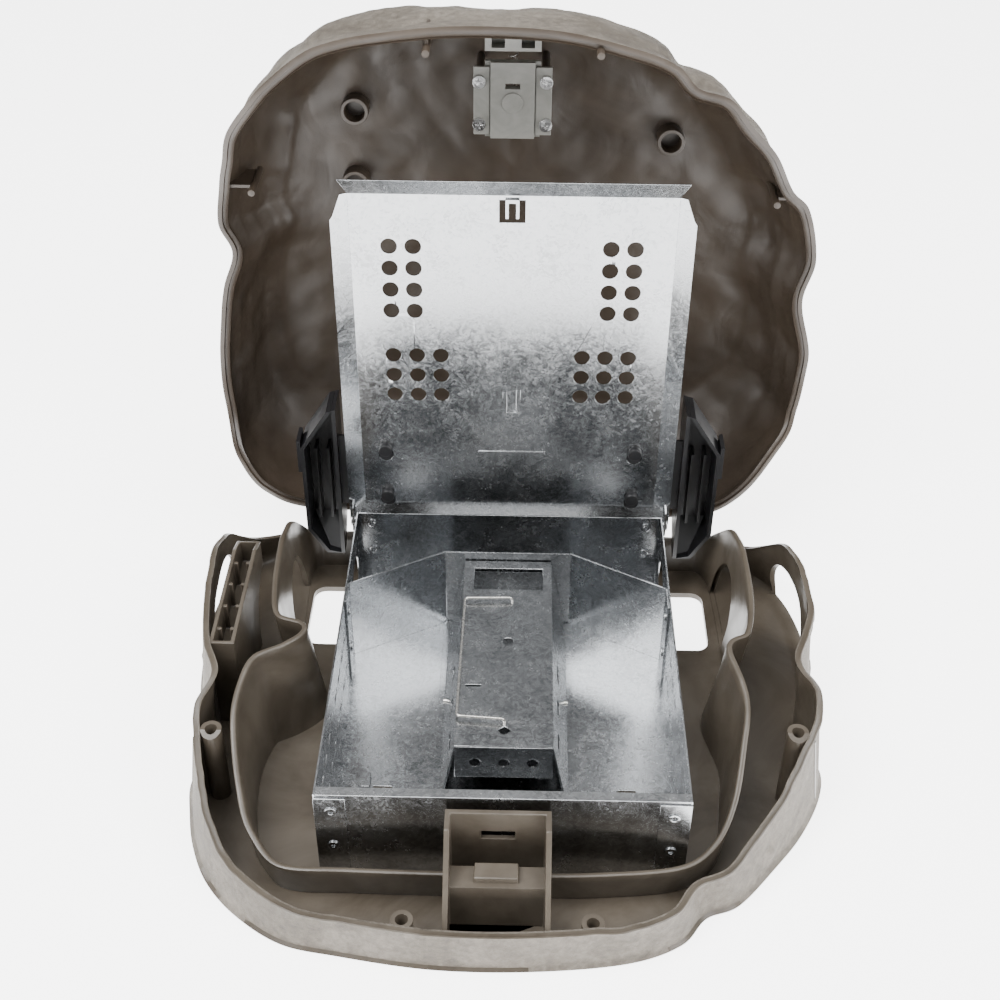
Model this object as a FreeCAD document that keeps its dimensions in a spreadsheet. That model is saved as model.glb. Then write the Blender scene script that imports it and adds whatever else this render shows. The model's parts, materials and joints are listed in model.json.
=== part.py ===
"""Rock-shaped bait station with a galvanised live-catch trap, modelled open.

Frame: millimetres, +Z up, origin on the ground under the middle of the base.
+X is the right-hand side and -Y the front, where the latch tower stands.
The cover and the trap lid are drawn closed, where they have to fit the base
and the trap, and one turn about their hinge pins then opens them.
"""
import FreeCAD, Part
import math
import os
import re

import Sketcher

Vector = FreeCAD.Vector
Rotation = FreeCAD.Rotation
Placement = FreeCAD.Placement

doc = FreeCAD.newDocument("BaitStation")
sizes = doc.addObject("Spreadsheet::Sheet", "Sizes")

DRIVING = {
    # base and cover shells
    "wall": 4.0,
    "floor_thick": 4.0,
    "front_rim": 26.0,
    "side_rim": 70.0,
    "rear_rim": 20.0,
    "rim_gap": 0.5,
    "bay_thick": 3.4,
    "bay_draft": 11.0,
    "entry_from": 80.0,
    "entry_to": 136.0,
    "entry_high": 46.0,
    # cover hinge
    "hinge_y": 187.0,
    "hinge_z": 20.0,
    "knuckle_radius": 5.5,
    "knuckle_long": 19.0,
    "pin_radius": 2.5,
    "pin_clear": 0.06,
    "cover_lean": 1.0,
    # galvanised trap
    "gauge": 1.0,
    "trap_half": 100.0,
    "trap_front": -100.0,
    "trap_rear": 140.0,
    "trap_top": 66.0,
    "tab_wide": 17.0,
    "entry_radius": 18.0,
    "entry_y": 108.0,
    "entry_z": 32.0,
    "rivet_radius": 3.2,
    "rivet_high": 0.8,
    # one-way tunnel
    "tunnel_half": 27.5,
    "tunnel_foot": 38.0,
    "tunnel_top": 59.0,
    "tunnel_front": -57.0,
    "tunnel_rear": 101.0,
    "tread_half": 25.0,
    "tread_pivot_y": 20.0,
    "tread_pivot_z": 15.0,
    "tread_slope": 8.0,
    "clip_radius": 0.8,
    # trap lid
    "lid_pivot_y": 137.0,
    "lid_pivot_z": 62.0,
    "lid_lean": 0.5,
    "lid_half": 94.5,
    "lid_long": 228.0,
    "lid_rise": 9.0,
    "lip_reach": 10.0,
    "vent_radius": 4.8,
    "vent_pitch": 14.2,
    "ear_radius": 2.55,
    # plastic tunnel hoods
    "hood_wall": 2.5,
    "stud_x": 79.5,
    # latch
    "latch_x": -2.0,
        "tower_rear": -104.0,
    "tower_top": 62.0,
}

for row, (alias, number) in enumerate(DRIVING.items(), start=1):
    sizes.set("A%d" % row, alias.replace("_", " "))
    sizes.set("B%d" % row, str(number))
    sizes.setAlias("B%d" % row, alias)
doc.recompute()

NODES = {}


def size(alias):
    """The number that the sheet holds under this name."""
    return float(getattr(sizes, alias))


def bind(piece, path, text):
    """Tie one property to an expression over the sheet's names."""
    names = re.compile(r"\b(" + "|".join(DRIVING) + r")\b")
    terms = names.sub(r"Sizes.\1", str(text))
    piece.setExpression(path, terms)


def keep(piece, label):
    """Mark a finished piece as the node of this name."""
    piece.Label = label
    NODES[label] = piece
    return piece


def box(name, corner, lengths):
    """A box from its low corner and its three lengths."""
    piece = doc.addObject("Part::Box", name)
    for path, text in zip("xyz", corner):
        bind(piece, "Placement.Base." + path, text)
    for path, text in zip(("Length", "Width", "Height"), lengths):
        bind(piece, path, text)
    return piece


TURNS = {
    "X": Rotation(Vector(0, 1, 0), 90),
    "Y": Rotation(Vector(1, 0, 0), -90),
    "Z": Rotation(),
}


def rod(name, start, radius, length, axis="Z"):
    """A cylinder from the middle of its first face, along one axis."""
    piece = doc.addObject("Part::Cylinder", name)
    piece.Placement = Placement(Vector(), TURNS[axis])
    for path, text in zip("xyz", start):
        bind(piece, "Placement.Base." + path, text)
    bind(piece, "Radius", radius)
    bind(piece, "Height", length)
    return piece


def fuse(name, *pieces):
    """One solid, or one group of solids, from several."""
    joined = doc.addObject("Part::MultiFuse", name)
    joined.Shapes = list(pieces)
    return joined


def cut(name, body, *tools):
    """The body without its tools."""
    result = doc.addObject("Part::Cut", name)
    result.Base = body
    result.Tool = tools[0] if len(tools) == 1 else fuse(name + "_tools", *tools)
    return result


def common(name, body, region):
    """The stretch of a body that lies in a region."""
    result = doc.addObject("Part::Common", name)
    result.Base = body
    result.Tool = region
    return result


def shape(name, solid):
    """A worked-out shape as an object of the document."""
    piece = doc.addObject("Part::Feature", name)
    piece.Shape = solid
    return piece


def plane_of(body, role):
    """The body's own origin plane with this role."""
    for feature in body.Origin.OriginFeatures:
        if feature.Role == role:
            return feature
    raise ValueError(role)


def new_sketch(body, name, role="XY_Plane"):
    """A sketch on one of the body's origin planes."""
    sketch = body.newObject("Sketcher::SketchObject", name)
    sketch.AttachmentSupport = [(plane_of(body, role), "")]
    sketch.MapMode = "FlatFace"
    return sketch


def polygon(sketch, points):
    """A closed outline through whole-number points."""
    first = sketch.GeometryCount
    corners = [Vector(x, y, 0) for x, y in points]
    for start, end in zip(corners, corners[1:] + corners[:1]):
        sketch.addGeometry(Part.LineSegment(start, end), False)
    count = len(corners)
    for index in range(count):
        following = first + (index + 1) % count
        sketch.addConstraint(Sketcher.Constraint("Coincident", first + index, 2, following, 1))


def dimension(sketch, kind, places, number, text):
    """A dimension of the sketch that follows the sheet."""
    index = sketch.addConstraint(Sketcher.Constraint(kind, *places, number))
    name = "%s_%d" % (kind, index)
    sketch.renameConstraint(index, name)
    bind(sketch, "Constraints." + name, text)


def rectangle(sketch, low, high, width_text, height_text):
    """An upright rectangle whose width and height follow the sheet."""
    first = sketch.GeometryCount
    polygon(sketch, [low, (high[0], low[1]), high, (low[0], high[1])])
    for line, kind in zip(range(first, first + 4), ("Horizontal", "Vertical") * 2):
        sketch.addConstraint(Sketcher.Constraint(kind, line))
    sketch.addConstraint(Sketcher.Constraint("DistanceX", -1, 1, first, 1, low[0]))
    sketch.addConstraint(Sketcher.Constraint("DistanceY", -1, 1, first, 1, low[1]))
    dimension(sketch, "DistanceX", (first, 1, first, 2), high[0] - low[0], width_text)
    dimension(sketch, "DistanceY", (first + 1, 1, first + 1, 2), high[1] - low[1], height_text)


def hole(sketch, x, y, radius_name):
    """A round hole whose radius is a size in the sheet."""
    index = sketch.addGeometry(Part.Circle(Vector(x, y, 0), Vector(0, 0, 1), size(radius_name)), False)
    sketch.addConstraint(Sketcher.Constraint("DistanceX", -1, 1, index, 3, x))
    sketch.addConstraint(Sketcher.Constraint("DistanceY", -1, 1, index, 3, y))
    dimension(sketch, "Radius", (index,), size(radius_name), radius_name)


def pad(body, sketch, text):
    """Raise a sketch by a length from the sheet."""
    raised = body.newObject("PartDesign::Pad", sketch.Name + "_pad")
    raised.Profile = sketch
    bind(raised, "Length", text)
    sketch.Visibility = False
    return raised


def pocket(body, sketch):
    """Cut a sketch through everything above its plane."""
    sunk = body.newObject("PartDesign::Pocket", sketch.Name + "_pocket")
    sunk.Profile = sketch
    sunk.Type = 1
    sunk.Midplane = True
    return sunk


def pattern(body, feature, sketch, axis, spacing, count):
    """Repeat a feature in a straight row along a sketch axis."""
    row = body.newObject("PartDesign::LinearPattern", feature.Name + "_row")
    row.Originals = [feature]
    row.Direction = (sketch, [axis])
    row.Length = spacing * (count - 1)
    row.Occurrences = count
    body.Tip = row
    return row


def sharp_wire(points, height):
    """A closed outline of straight facets at one height."""
    corners = [Vector(x, y, height) for x, y in points]
    return Part.makePolygon(corners + corners[:1])


def inset(points, distance):
    """The same outline, every point moved inwards along its own normal."""
    moved = []
    count = len(points)
    for index, (x, y) in enumerate(points):
        before = points[index - 1]
        after = points[(index + 1) % count]
        along = Vector(after[0] - before[0], after[1] - before[1], 0).normalize()
        moved.append((x - along.y * distance, y + along.x * distance))
    return moved


def stretched(points, across, along):
    """The same outline, scaled about the origin."""
    return [(x * across, y * along) for x, y in points]


# The rim where base and cover meet, anticlockwise from the middle of the rear.
RIM = [
    (0, 179), (-70, 179), (-136, 176), (-166, 164), (-182, 142), (-188, 108), (-187, 66),
    (-183, 32), (-178, 8), (-170, -14), (-176, -36), (-173, -58), (-167, -82), (-156, -106),
    (-138, -127), (-112, -145), (-82, -152), (-34, -159), (16, -159), (64, -153), (92, -141),
    (106, -124), (124, -115), (147, -88), (163, -66), (176, -40), (180, -18), (172, 2),
    (181, 28), (186, 58), (186, 92), (180, 126), (166, 152), (134, 174), (70, 179),
]

# The wall round the trap bay, with its waist beside the trap's side entries.
BAY = [
    (0, 175), (-110, 174), (-137, 170), (-148, 152), (-148, 108), (-146, 62), (-140, 34),
    (-123, 25), (-132, 13), (-148, 2), (-155, -18), (-157, -42), (-153, -74), (-144, -101),
    (-122, -123), (-80, -126), (0, -127), (50, -126), (98, -120), (122, -104), (134, -80),
    (139, -50), (141, -22), (134, 14), (146, 26), (152, 60), (152, 110), (149, 150),
    (137, 170), (110, 174),
]

# The cover's rim, which overhangs the base at the sides.
BROW = [
    (0, 179), (-70, 179), (-140, 177), (-170, 167), (-187, 152), (-196, 136), (-203, 96),
    (-199, 56), (-194, 30), (-186, 6), (-192, -16), (-186, -48), (-180, -69), (-173, -92),
    (-155, -117), (-143, -129), (-125, -143), (-110, -150), (-83, -156), (-34, -161), (24, -159),
    (70, -149), (93, -140), (106, -127), (126, -120), (141, -101), (159, -80), (174, -51),
    (188, -34), (199, 4), (194, 36), (204, 78), (199, 116), (188, 138), (140, 176), (70, 179),
]

# Height of the parting line as it runs from front to rear.
PARTING = [
    (-115, "front_rim"), (-76, 42), (-38, 62), (-4, "side_rim"), (94, "side_rim"),
    (124, 60), (158, 28), (176, "rear_rim"),
]


def parting_points(lift=0.0, rear_stretch=0):
    """The parting line's corners, as depth and height."""
    points = []
    for along, height in PARTING:
        level = size(height) if isinstance(height, str) else float(height)
        shift = rear_stretch if along > 90 else 0
        points.append((along + shift, level + lift))
    return points


def parting_block(name, above, lift=0.0, rear_stretch=0):
    """Everything above, or below, the parting line."""
    line = parting_points(lift, rear_stretch)
    edge = [(-400, line[0][1])] + line + [(400, line[-1][1])]
    far = 400 if above else -400
    outline = [(-400, far)] + edge + [(400, far)]
    face = Part.Face(Part.makePolygon([Vector(-300, y, z) for y, z in outline + outline[:1]]))
    return shape(name, face.extrude(Vector(600, 0, 0)))


def parting_height(y):
    """Height of the parting line at this depth."""
    line = [(-400, size("front_rim"))] + parting_points() + [(400, size("rear_rim"))]
    for (y_from, z_from), (y_to, z_to) in zip(line, line[1:]):
        if y_from <= y <= y_to:
            return z_from + (z_to - z_from) * (y - y_from) / (y_to - y_from)
    raise ValueError(y)


def loft(wires):
    """A closed solid with straight sides through a stack of outlines."""
    return Part.makeLoft(wires, True, True)


# Base: rock-shaped tray ------------------------------------------------------
SPARE = 12.0
BASE_TOP = size("side_rim") + SPARE
GROUND = stretched(RIM, 1.06, 1.01)
GROUND_INNER = inset(GROUND, size("wall"))
RIM_INNER = inset(RIM, size("wall"))

tray_block = shape("tray_block", loft([sharp_wire(GROUND, 0), sharp_wire(RIM, BASE_TOP)]))
tray_room = shape("tray_room", loft([
    sharp_wire(GROUND_INNER, size("floor_thick")), sharp_wire(RIM_INNER, BASE_TOP + 1)]))
above_parting = parting_block("above_parting", True)


def bay_block(name, clearance, low, high):
    """The bay wall's outline as a drafted block, moved inwards by a clearance."""
    foot = inset(inset(BAY, clearance), size("bay_draft"))
    return shape(name, loft([sharp_wire(foot, low), sharp_wire(inset(BAY, clearance), high)]))


bay_outer = bay_block("bay_outer", 0, size("floor_thick"), BASE_TOP)
bay_inner = bay_block("bay_inner", size("bay_thick"), size("floor_thick"), BASE_TOP)


def entry_tunnel(name, side):
    """An arched way in from one side: open floor beside the trap, then out."""
    reach = 130
    start = 101 if side > 0 else -101 - reach
    middle = "(entry_from + entry_to) / 2"
    half = "(entry_to - entry_from) / 2"
    passage = box(name + "_low", (start, "entry_from", "floor_thick"),
                  (reach, "entry_to - entry_from", "entry_high - %s - floor_thick" % half))
    arch = rod(name + "_arch", (start, middle, "entry_high - %s" % half), half, reach, "X")
    return fuse(name, passage, arch)


def floor_well(name, side):
    """The hole through the tray's floor beside the trap."""
    start = 103 if side > 0 else -131
    return box(name, (start, "entry_from", -1), (28, "entry_to - entry_from", 7))


entries = fuse("entries", entry_tunnel("entry_left", -1), entry_tunnel("entry_right", 1))
wells = fuse("wells", floor_well("well_left", -1), floor_well("well_right", 1))
doc.recompute()

tray_shell = cut("tray_shell", tray_block, tray_room)
keep(cut("base_tray_form", tray_shell, above_parting, entries, wells), "base_tray")

above_bay = parting_block("above_bay", True, 0.0, 14)
bay_ring = cut("bay_ring", bay_outer, bay_inner)
tower_gap = box("tower_gap", ("latch_x - 28", -156, 0), (56, "tower_rear + 156", 100))
keep(cut("bay_wall_form", bay_ring, above_bay, entries, tower_gap), "bay_wall")
doc.recompute()

# Base: things moulded into the tray ------------------------------------------
POSTS = [(-164, -46), (164, -42), (-51, -147), (48, -147)]

valley = cut("valley", tray_room, bay_outer, above_parting)


def screw_post(index, x, y):
    """A hollow post with a web to the outer wall."""
    top = parting_height(y) - 0.5
    name = "screw_post_%d" % index
    web_long = 22
    sideways = abs(x) > 100
    outwards = (1 if x > 0 else -1) if sideways else -1
    if sideways:
        corner = (x if outwards > 0 else x - web_long, y - 1, "floor_thick")
        lengths = (web_long, 2, top - 12)
    else:
        corner = (x - 1, y - web_long, "floor_thick")
        lengths = (2, web_long, top - 12)
    web = box(name + "_web", corner, lengths)
    stem = rod(name + "_stem", (x, y, "floor_thick"), 6, "%.2f - floor_thick" % top)
    bore = rod(name + "_bore", (x, y, top - 30 if sideways else top - 16), 3.4, 40)
    return cut(name + "_bored", fuse(name + "_solid", stem, web), bore)


posts = fuse("posts", *[screw_post(index, x, y) for index, (x, y) in enumerate(POSTS, start=1)])
keep(common("screw_posts_form", posts, valley), "screw_posts")


def key_pocket():
    """The narrow rack moulded beside the bay, with small ribs in pairs."""
    top = size("side_rim") - 0.5
    shell = box("pocket_shell", (-174, 10, "floor_thick"), (15, 100, "%.2f - floor_thick" % top))
    room = box("pocket_room", (-171.6, 12.4, 50), (10.2, 95.2, 40))
    ribs = []
    for index in range(4):
        y = 24 + 20 * index
        ribs.append(box("pocket_rib_left_%d" % index, (-171.6, y, 49), (2.6, 2.4, top - 51)))
        ribs.append(box("pocket_rib_right_%d" % index, (-164, y, 49), (2.6, 2.4, top - 51)))
    return fuse("key_pocket_form", cut("pocket_tray", shell, room), *ribs)


keep(cut("key_pocket_clear", common("key_pocket_inside", key_pocket(), valley), entries), "key_pocket")


def latch_tower():
    """The open-fronted tower that the cover's latch comes down on."""
    middle = size("latch_x")
    outer = box("tower_outer", (middle - 28, -156, "floor_thick"),
                (56, "tower_rear + 156", "tower_top - floor_thick"))
    room = box("tower_room", (middle - 25, -158, "floor_thick"), (50, "tower_rear + 155", "tower_top"))
    slope_high = size("tower_top") - size("front_rim")
    slope_long = 38.0
    slope = Part.Face(Part.makePolygon([
        Vector(middle - 40, -156, size("front_rim") - 4),
        Vector(middle - 40, -156 + slope_long, size("tower_top")),
        Vector(middle - 40, -156 + slope_long, size("tower_top") + slope_high),
        Vector(middle - 40, -200, size("tower_top") + slope_high),
        Vector(middle - 40, -200, size("front_rim") - 4),
        Vector(middle - 40, -156, size("front_rim") - 4)]))
    front_slope = shape("tower_slope", slope.extrude(Vector(80, 0, 0)))
    slot = box("tower_slot", (middle - 9, "tower_rear - 4", 42), (18, 6, 6))
    walls = cut("tower_walls", outer, room, front_slope, slot)
    panel_low = box("tower_panel", (middle - 25, -134, "floor_thick"), (50, 3, 32))
    ledge = box("tower_ledge", (middle - 25, -131, 33), (50, 11, 3))
    block = box("tower_block", (middle - 12, -131, 36), (23, 10, 4))
    return fuse("latch_tower_form", walls, panel_low, ledge, block)


keep(common("latch_tower_inside", latch_tower(), tray_room), "latch_tower")

# Cover hinge -----------------------------------------------------------------
HINGES = (-80.0, 80.0)


def knuckle(name, x_from, x_to, arm_corner, arm_lengths):
    """One hinge knuckle with the arm that carries it."""
    barrel = rod(name + "_barrel", (x_from, "hinge_y", "hinge_z"), "knuckle_radius", x_to - x_from, "X")
    arm = box(name + "_arm", arm_corner, arm_lengths)
    bore = rod(name + "_bore", (x_from - 1, "hinge_y", "hinge_z"), "pin_radius + pin_clear",
               x_to - x_from + 2, "X")
    return cut(name, fuse(name + "_solid", barrel, arm), bore)


base_knuckles = []
for middle in HINGES:
    side = "left" if middle < 0 else "right"
    for place, x in (("outer", middle - 25), ("inner", middle + 10)):
        base_knuckles.append(knuckle(
            "base_knuckle_%s_%s" % (side, place), x, x + 15,
            (x, 176, "hinge_z - 11"), (15, "hinge_y - 176", 9)))
keep(cut("base_knuckles_form", fuse("base_knuckle_group", *base_knuckles), tray_block), "base_hinge_knuckles")

keep(fuse("hinge_pins_form", *[
    rod("hinge_pin_%d" % index, (middle - 27, "hinge_y", "hinge_z"), "pin_radius", 54, "X")
    for index, middle in enumerate(HINGES)]), "hinge_pins")


# Trap box --------------------------------------------------------------------
STAND_FRONT = Rotation(Vector(1, 0, 0), 90)
STAND_SIDE = Rotation(Vector(1, 1, 1), 120)


def trap_floor():
    """The trap's floor, with the two feeding slots near the front."""
    body = doc.addObject("PartDesign::Body", "trap_floor_body")
    sketch = new_sketch(body, "trap_floor_outline")
    low = (-size("trap_half"), size("trap_front"))
    high = (size("trap_half"), size("trap_rear"))
    rectangle(sketch, low, high, "2 * trap_half", "trap_rear - trap_front")
    for x in (-76, 66):
        polygon(sketch, [(x, -46), (x + 11, -46), (x + 11, -40), (x, -40)])
    pad(body, sketch, "gauge")
    bind(body, "Placement.Base.z", "floor_thick")
    return body


keep(trap_floor(), "trap_floor")
keep(box("floor_tongue_form", (-84, -43, "floor_thick + gauge"), (6, 11, 3)), "floor_tongue")


def upright(name, width, width_text, high, high_text):
    """An upright sheet: width along its own X, height along its own Y."""
    body = doc.addObject("PartDesign::Body", name)
    sketch = new_sketch(body, name + "_outline")
    rectangle(sketch, (0, 0), (width, high), width_text, high_text)
    return body, sketch


def trap_side(name, side):
    """A side sheet with its entry hole, two rows of slots and the front tab."""
    long = size("trap_rear") - size("trap_front")
    high = size("trap_top") - size("floor_thick") - size("gauge")
    body, sketch = upright(name + "_body", long, "trap_rear - trap_front", high,
                           "trap_top - floor_thick - gauge")
    hole(sketch, size("entry_y") - size("trap_front"),
         size("entry_z") - size("floor_thick") - size("gauge"), "entry_radius")
    pad(body, sketch, "gauge")
    for group, start in (("front", 22), ("middle", 88)):
        for level in (14, 38):
            slots = new_sketch(body, "%s_%s_slots_%d" % (name, group, level))
            polygon(slots, [(start, level), (start + 11, level), (start + 11, level + 4), (start, level + 4)])
            sunk = pocket(body, slots)
            pattern(body, sunk, slots, "H_Axis", 16, 4)
    body.Placement = Placement(Vector(), STAND_SIDE)
    bind(body, "Placement.Base.x", "trap_half - gauge" if side > 0 else "-trap_half")
    bind(body, "Placement.Base.y", "trap_front")
    bind(body, "Placement.Base.z", "floor_thick + gauge")
    tab = box(name + "_tab", ("trap_half - tab_wide" if side > 0 else "-trap_half", "trap_front - gauge", 7),
              ("tab_wide", "gauge", 57))
    return fuse(name + "_form", body, tab)


keep(trap_side("trap_side_left", -1), "trap_side_left")
keep(trap_side("trap_side_right", 1), "trap_side_right")


def cross_wall(name, y_text, top_text):
    """A plain sheet across the trap between its sides."""
    width = 2 * (size("trap_half") - size("gauge"))
    high = size("trap_top") - size("floor_thick") - size("gauge")
    body, sketch = upright(name, width, "2 * trap_half - 2 * gauge", high, top_text)
    pad(body, sketch, "gauge")
    body.Placement = Placement(Vector(), STAND_FRONT)
    bind(body, "Placement.Base.x", "gauge - trap_half")
    bind(body, "Placement.Base.y", y_text)
    bind(body, "Placement.Base.z", "floor_thick + gauge")
    return body


front_sheet = cross_wall("front_sheet", "trap_front + gauge", "trap_top - floor_thick - gauge")
front_fold = box("front_fold", ("gauge - trap_half", "trap_front + gauge", "trap_top - gauge"),
                 ("2 * trap_half - 2 * gauge", 5, "gauge"))
keep(fuse("trap_front_form", front_sheet, front_fold), "trap_front_wall")
keep(cross_wall("rear_sheet", "trap_rear", "trap_top - floor_thick - gauge"), "trap_rear_wall")


def eyelet(name, start, axis):
    """One hollow rivet head."""
    head = rod(name + "_head", start, "rivet_radius", "rivet_high", axis)
    eye = rod(name + "_eye", start, "rivet_radius * 0.42", "rivet_high", axis)
    return cut(name, head, eye)


RIVETS = []
for side, sign in (("left", -1), ("right", 1)):
    for level in (27, 54):
        RIVETS.append(eyelet("front_rivet_%s_%d" % (side, level),
                             (91 * sign, "trap_front - gauge - rivet_high", level), "Y"))
    for level in (36, 58):
        RIVETS.append(eyelet("rear_rivet_%s_%d" % (side, level),
                             (90 * sign, "trap_rear - gauge - rivet_high", level), "Y"))
    for level in (20, 50):
        x_text = "trap_half - 2 * gauge - rivet_high" if sign > 0 else "2 * gauge - trap_half"
        RIVETS.append(eyelet("baffle_rivet_%s_%d" % (side, level), (x_text, 61, level), "X"))
keep(fuse("trap_rivets_form", *RIVETS), "trap_rivets")


# Baffle and one-way tunnel ---------------------------------------------------
def baffle_wing(name, side):
    """A slanting wing of the baffle with the flange riveted to the side."""
    body = doc.addObject("PartDesign::Body", name)
    sketch = new_sketch(body, name + "_plan")
    plan = [(-99, 53), (-98, 53), (-98, 70), (-40, 102), (-40.25, 103), (-99, 70.6)]
    if side > 0:
        plan = [(-x, y) for x, y in reversed(plan)]
    polygon(sketch, plan)
    pad(body, sketch, "trap_top - floor_thick - 2 * gauge")
    bind(body, "Placement.Base.z", "floor_thick + gauge")
    return body


keep(baffle_wing("baffle_wing_left", -1), "baffle_left")
keep(baffle_wing("baffle_wing_right", 1), "baffle_right")


def baffle_door():
    """The middle of the baffle, with the doorway into the tunnel."""
    sheet = box("baffle_sheet", (-40, 102, "floor_thick + gauge"),
                (80, "gauge", "trap_top - floor_thick - 2 * gauge"))
    doorway = box("baffle_doorway", (-25, 101, "floor_thick + gauge"), (50, 3, 44))
    corners = []
    for sign in (-1, 1):
        wedge = Part.Face(Part.makePolygon([
            Vector(40 * sign, 102, 0), Vector(40.25 * sign, 103, 0),
            Vector(45 * sign, 103, 0), Vector(45 * sign, 102, 0),
            Vector(40 * sign, 102, 0)]))
        corners.append(shape("baffle_corner_%d" % (sign + 1), wedge.extrude(Vector(0, 0, 80))))
    return cut("baffle_door_form", sheet, doorway, *corners)


keep(baffle_door(), "baffle_door")


def tunnel_side(name, side):
    """A sloping side of the tunnel with its windows and pin hole."""
    top = size("tunnel_top") - size("gauge")
    low = size("floor_thick") + size("gauge")
    half = size("tunnel_half")
    foot = size("tunnel_foot")
    front = size("tunnel_front")
    section = [(half - 1, top), (foot - 1, low), (foot + 3.5, low), (foot + 3.5, low + 1),
               (foot - 0.2, low + 1), (half, top)]
    wire = Part.makePolygon([Vector(side * x, front, z) for x, z in section + section[:1]])
    sheet = shape(name + "_sheet", Part.Face(wire).extrude(Vector(0, size("tunnel_rear") - front, 0)))
    start = 26 if side > 0 else -46
    windows = [box("%s_window_%d" % (name, index), (start, y, 34), (20, 13, 8))
               for index, y in enumerate((-42, -14, 14))]
    pin_hole = rod(name + "_pin_hole", (start, "tread_pivot_y", "tread_pivot_z"), 1.6, 20, "X")
    return cut(name + "_form", sheet, pin_hole, *windows)


keep(tunnel_side("tunnel_side_left", -1), "tunnel_side_left")
keep(tunnel_side("tunnel_side_right", 1), "tunnel_side_right")


def tunnel_roof():
    """The bait plate over the tunnel, with its slot and pierced holes."""
    body = doc.addObject("PartDesign::Body", "tunnel_roof_body")
    sketch = new_sketch(body, "tunnel_roof_outline")
    half = size("tunnel_half")
    rectangle(sketch, (-half, size("tunnel_front")), (half, size("tunnel_rear")),
              "2 * tunnel_half", "tunnel_rear - tunnel_front")
    polygon(sketch, [(-21, 74), (22, 74), (22, 94), (-21, 94)])
    hole(sketch, 1, 27, "rivet_radius")
    polygon(sketch, [(-4, -45), (0, -48.5), (4, -45), (0, -41.5)])
    polygon(sketch, [(-23, -11), (-14, -11), (-14, -9.4), (-23, -9.4)])
    pad(body, sketch, "gauge")
    bind(body, "Placement.Base.z", "tunnel_top - gauge")
    return body


keep(tunnel_roof(), "tunnel_roof")


def tunnel_front_strip():
    """The strip folded down over the mouth, with three sight holes."""
    body = doc.addObject("PartDesign::Body", "front_strip_body")
    sketch = new_sketch(body, "front_strip_outline")
    half = size("tunnel_half")
    rectangle(sketch, (-half, 0), (half, 24), "2 * tunnel_half", 24)
    for x in (-16, 0, 16):
        hole(sketch, x, 12, "rivet_radius")
    pad(body, sketch, "gauge")
    body.Placement = Placement(Vector(), STAND_FRONT)
    bind(body, "Placement.Base.y", "tunnel_front")
    bind(body, "Placement.Base.z", "tunnel_top - 24")
    return body


keep(tunnel_front_strip(), "tunnel_front_strip")


def bent_wire(points, radius, corner):
    """Round wire along straight runs joined by tangent arcs."""
    nodes = [Vector(*point) for point in points]
    edges = []
    start = nodes[0]
    for before, here, after in zip(nodes, nodes[1:], nodes[2:]):
        back = (before - here).normalize() * corner
        ahead = (after - here).normalize() * corner
        middle = here + (back + ahead) * (1 - math.sqrt(0.5))
        edges.append(Part.makeLine(start, here + back))
        edges.append(Part.Arc(here + back, middle, here + ahead).toShape())
        start = here + ahead
    edges.append(Part.makeLine(start, nodes[-1]))
    path = Part.Wire(edges)
    direction = nodes[1] - nodes[0]
    section = Part.Wire([Part.Circle(nodes[0], direction, radius).toShape()])
    return path.makePipeShell([section], True, False)


def wire_clip():
    """The spring clip that lies along the tunnel's roof."""
    top = size("tunnel_top")
    lift = top + 3
    points = [(3, 63, top), (3, 63, lift), (-26, 62, lift), (-27, -37, lift), (0, -39, lift), (0, -39, top)]
    return shape("wire_clip_form", bent_wire(points, size("clip_radius"), 2.0))


keep(wire_clip(), "wire_clip")


# Treadle ---------------------------------------------------------------------
def treadle():
    """The tipping floor plate, with the tube that turns on the pin."""
    plate = box("tread_plate", ("-tread_half", -70, 3.2), ("2 * tread_half", 148, 1.2))
    tube = rod("tread_tube", ("-tread_half", 0, 0), 3.4, "2 * tread_half", "X")
    bore = rod("tread_bore", ("-tread_half - 1", 0, 0), 1.56, "2 * tread_half + 2", "X")
    body = cut("treadle_form", fuse("treadle_solid", plate, tube), bore)
    return body


def tread_place(piece):
    """Set a treadle piece on its pivot at the resting slope."""
    piece.Placement = Placement(Vector(), Rotation(Vector(1, 0, 0), -size("tread_slope")))
    bind(piece, "Placement.Base.y", "tread_pivot_y")
    bind(piece, "Placement.Base.z", "tread_pivot_z")
    return piece


keep(tread_place(treadle()), "treadle")
slab = shape("tread_weight_form", Part.makeBox(40, 18, 3, Vector(-20, 46, 0.2)))
keep(tread_place(slab), "treadle_weight")
keep(rod("tread_pin_form", (-38, "tread_pivot_y", "tread_pivot_z"), 1.5, 76, "X"), "treadle_pin")
doc.recompute()


# Trap lid, drawn closed ------------------------------------------------------
LID_TURN = -(90 + size("lid_lean"))
COVER_TURN = -(90 + size("cover_lean"))


def opened(piece, turn, y_name, z_name):
    """Turn a closed piece open about a hinge line along X."""
    centre = Vector(0, size(y_name), size(z_name))
    piece.Placement = Placement(Vector(), Rotation(Vector(1, 0, 0), turn), centre) * piece.Placement
    return piece


def on_lid(piece, label):
    """Keep a piece of the trap lid, turned open with it."""
    return keep(opened(piece, LID_TURN, "lid_pivot_y", "lid_pivot_z"), label)


def on_cover(piece, label):
    """Keep a piece of the cover, turned open with it."""
    return keep(opened(piece, COVER_TURN, "hinge_y", "hinge_z"), label)


def prism(points, direction, lift=(0, 0, 0)):
    """A flat outline of 3-D points pushed along a direction."""
    corners = [Vector(*point) for point in points]
    face = Part.Face(Part.makePolygon(corners + corners[:1]))
    solid = face.extrude(Vector(*direction))
    solid.translate(Vector(*lift))
    return solid


LID_FRONT = size("lid_pivot_y") - size("lid_long")
LID_REAR = size("lid_pivot_y") + 2
LID_UNDER = size("lid_pivot_z") + size("lid_rise")


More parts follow.
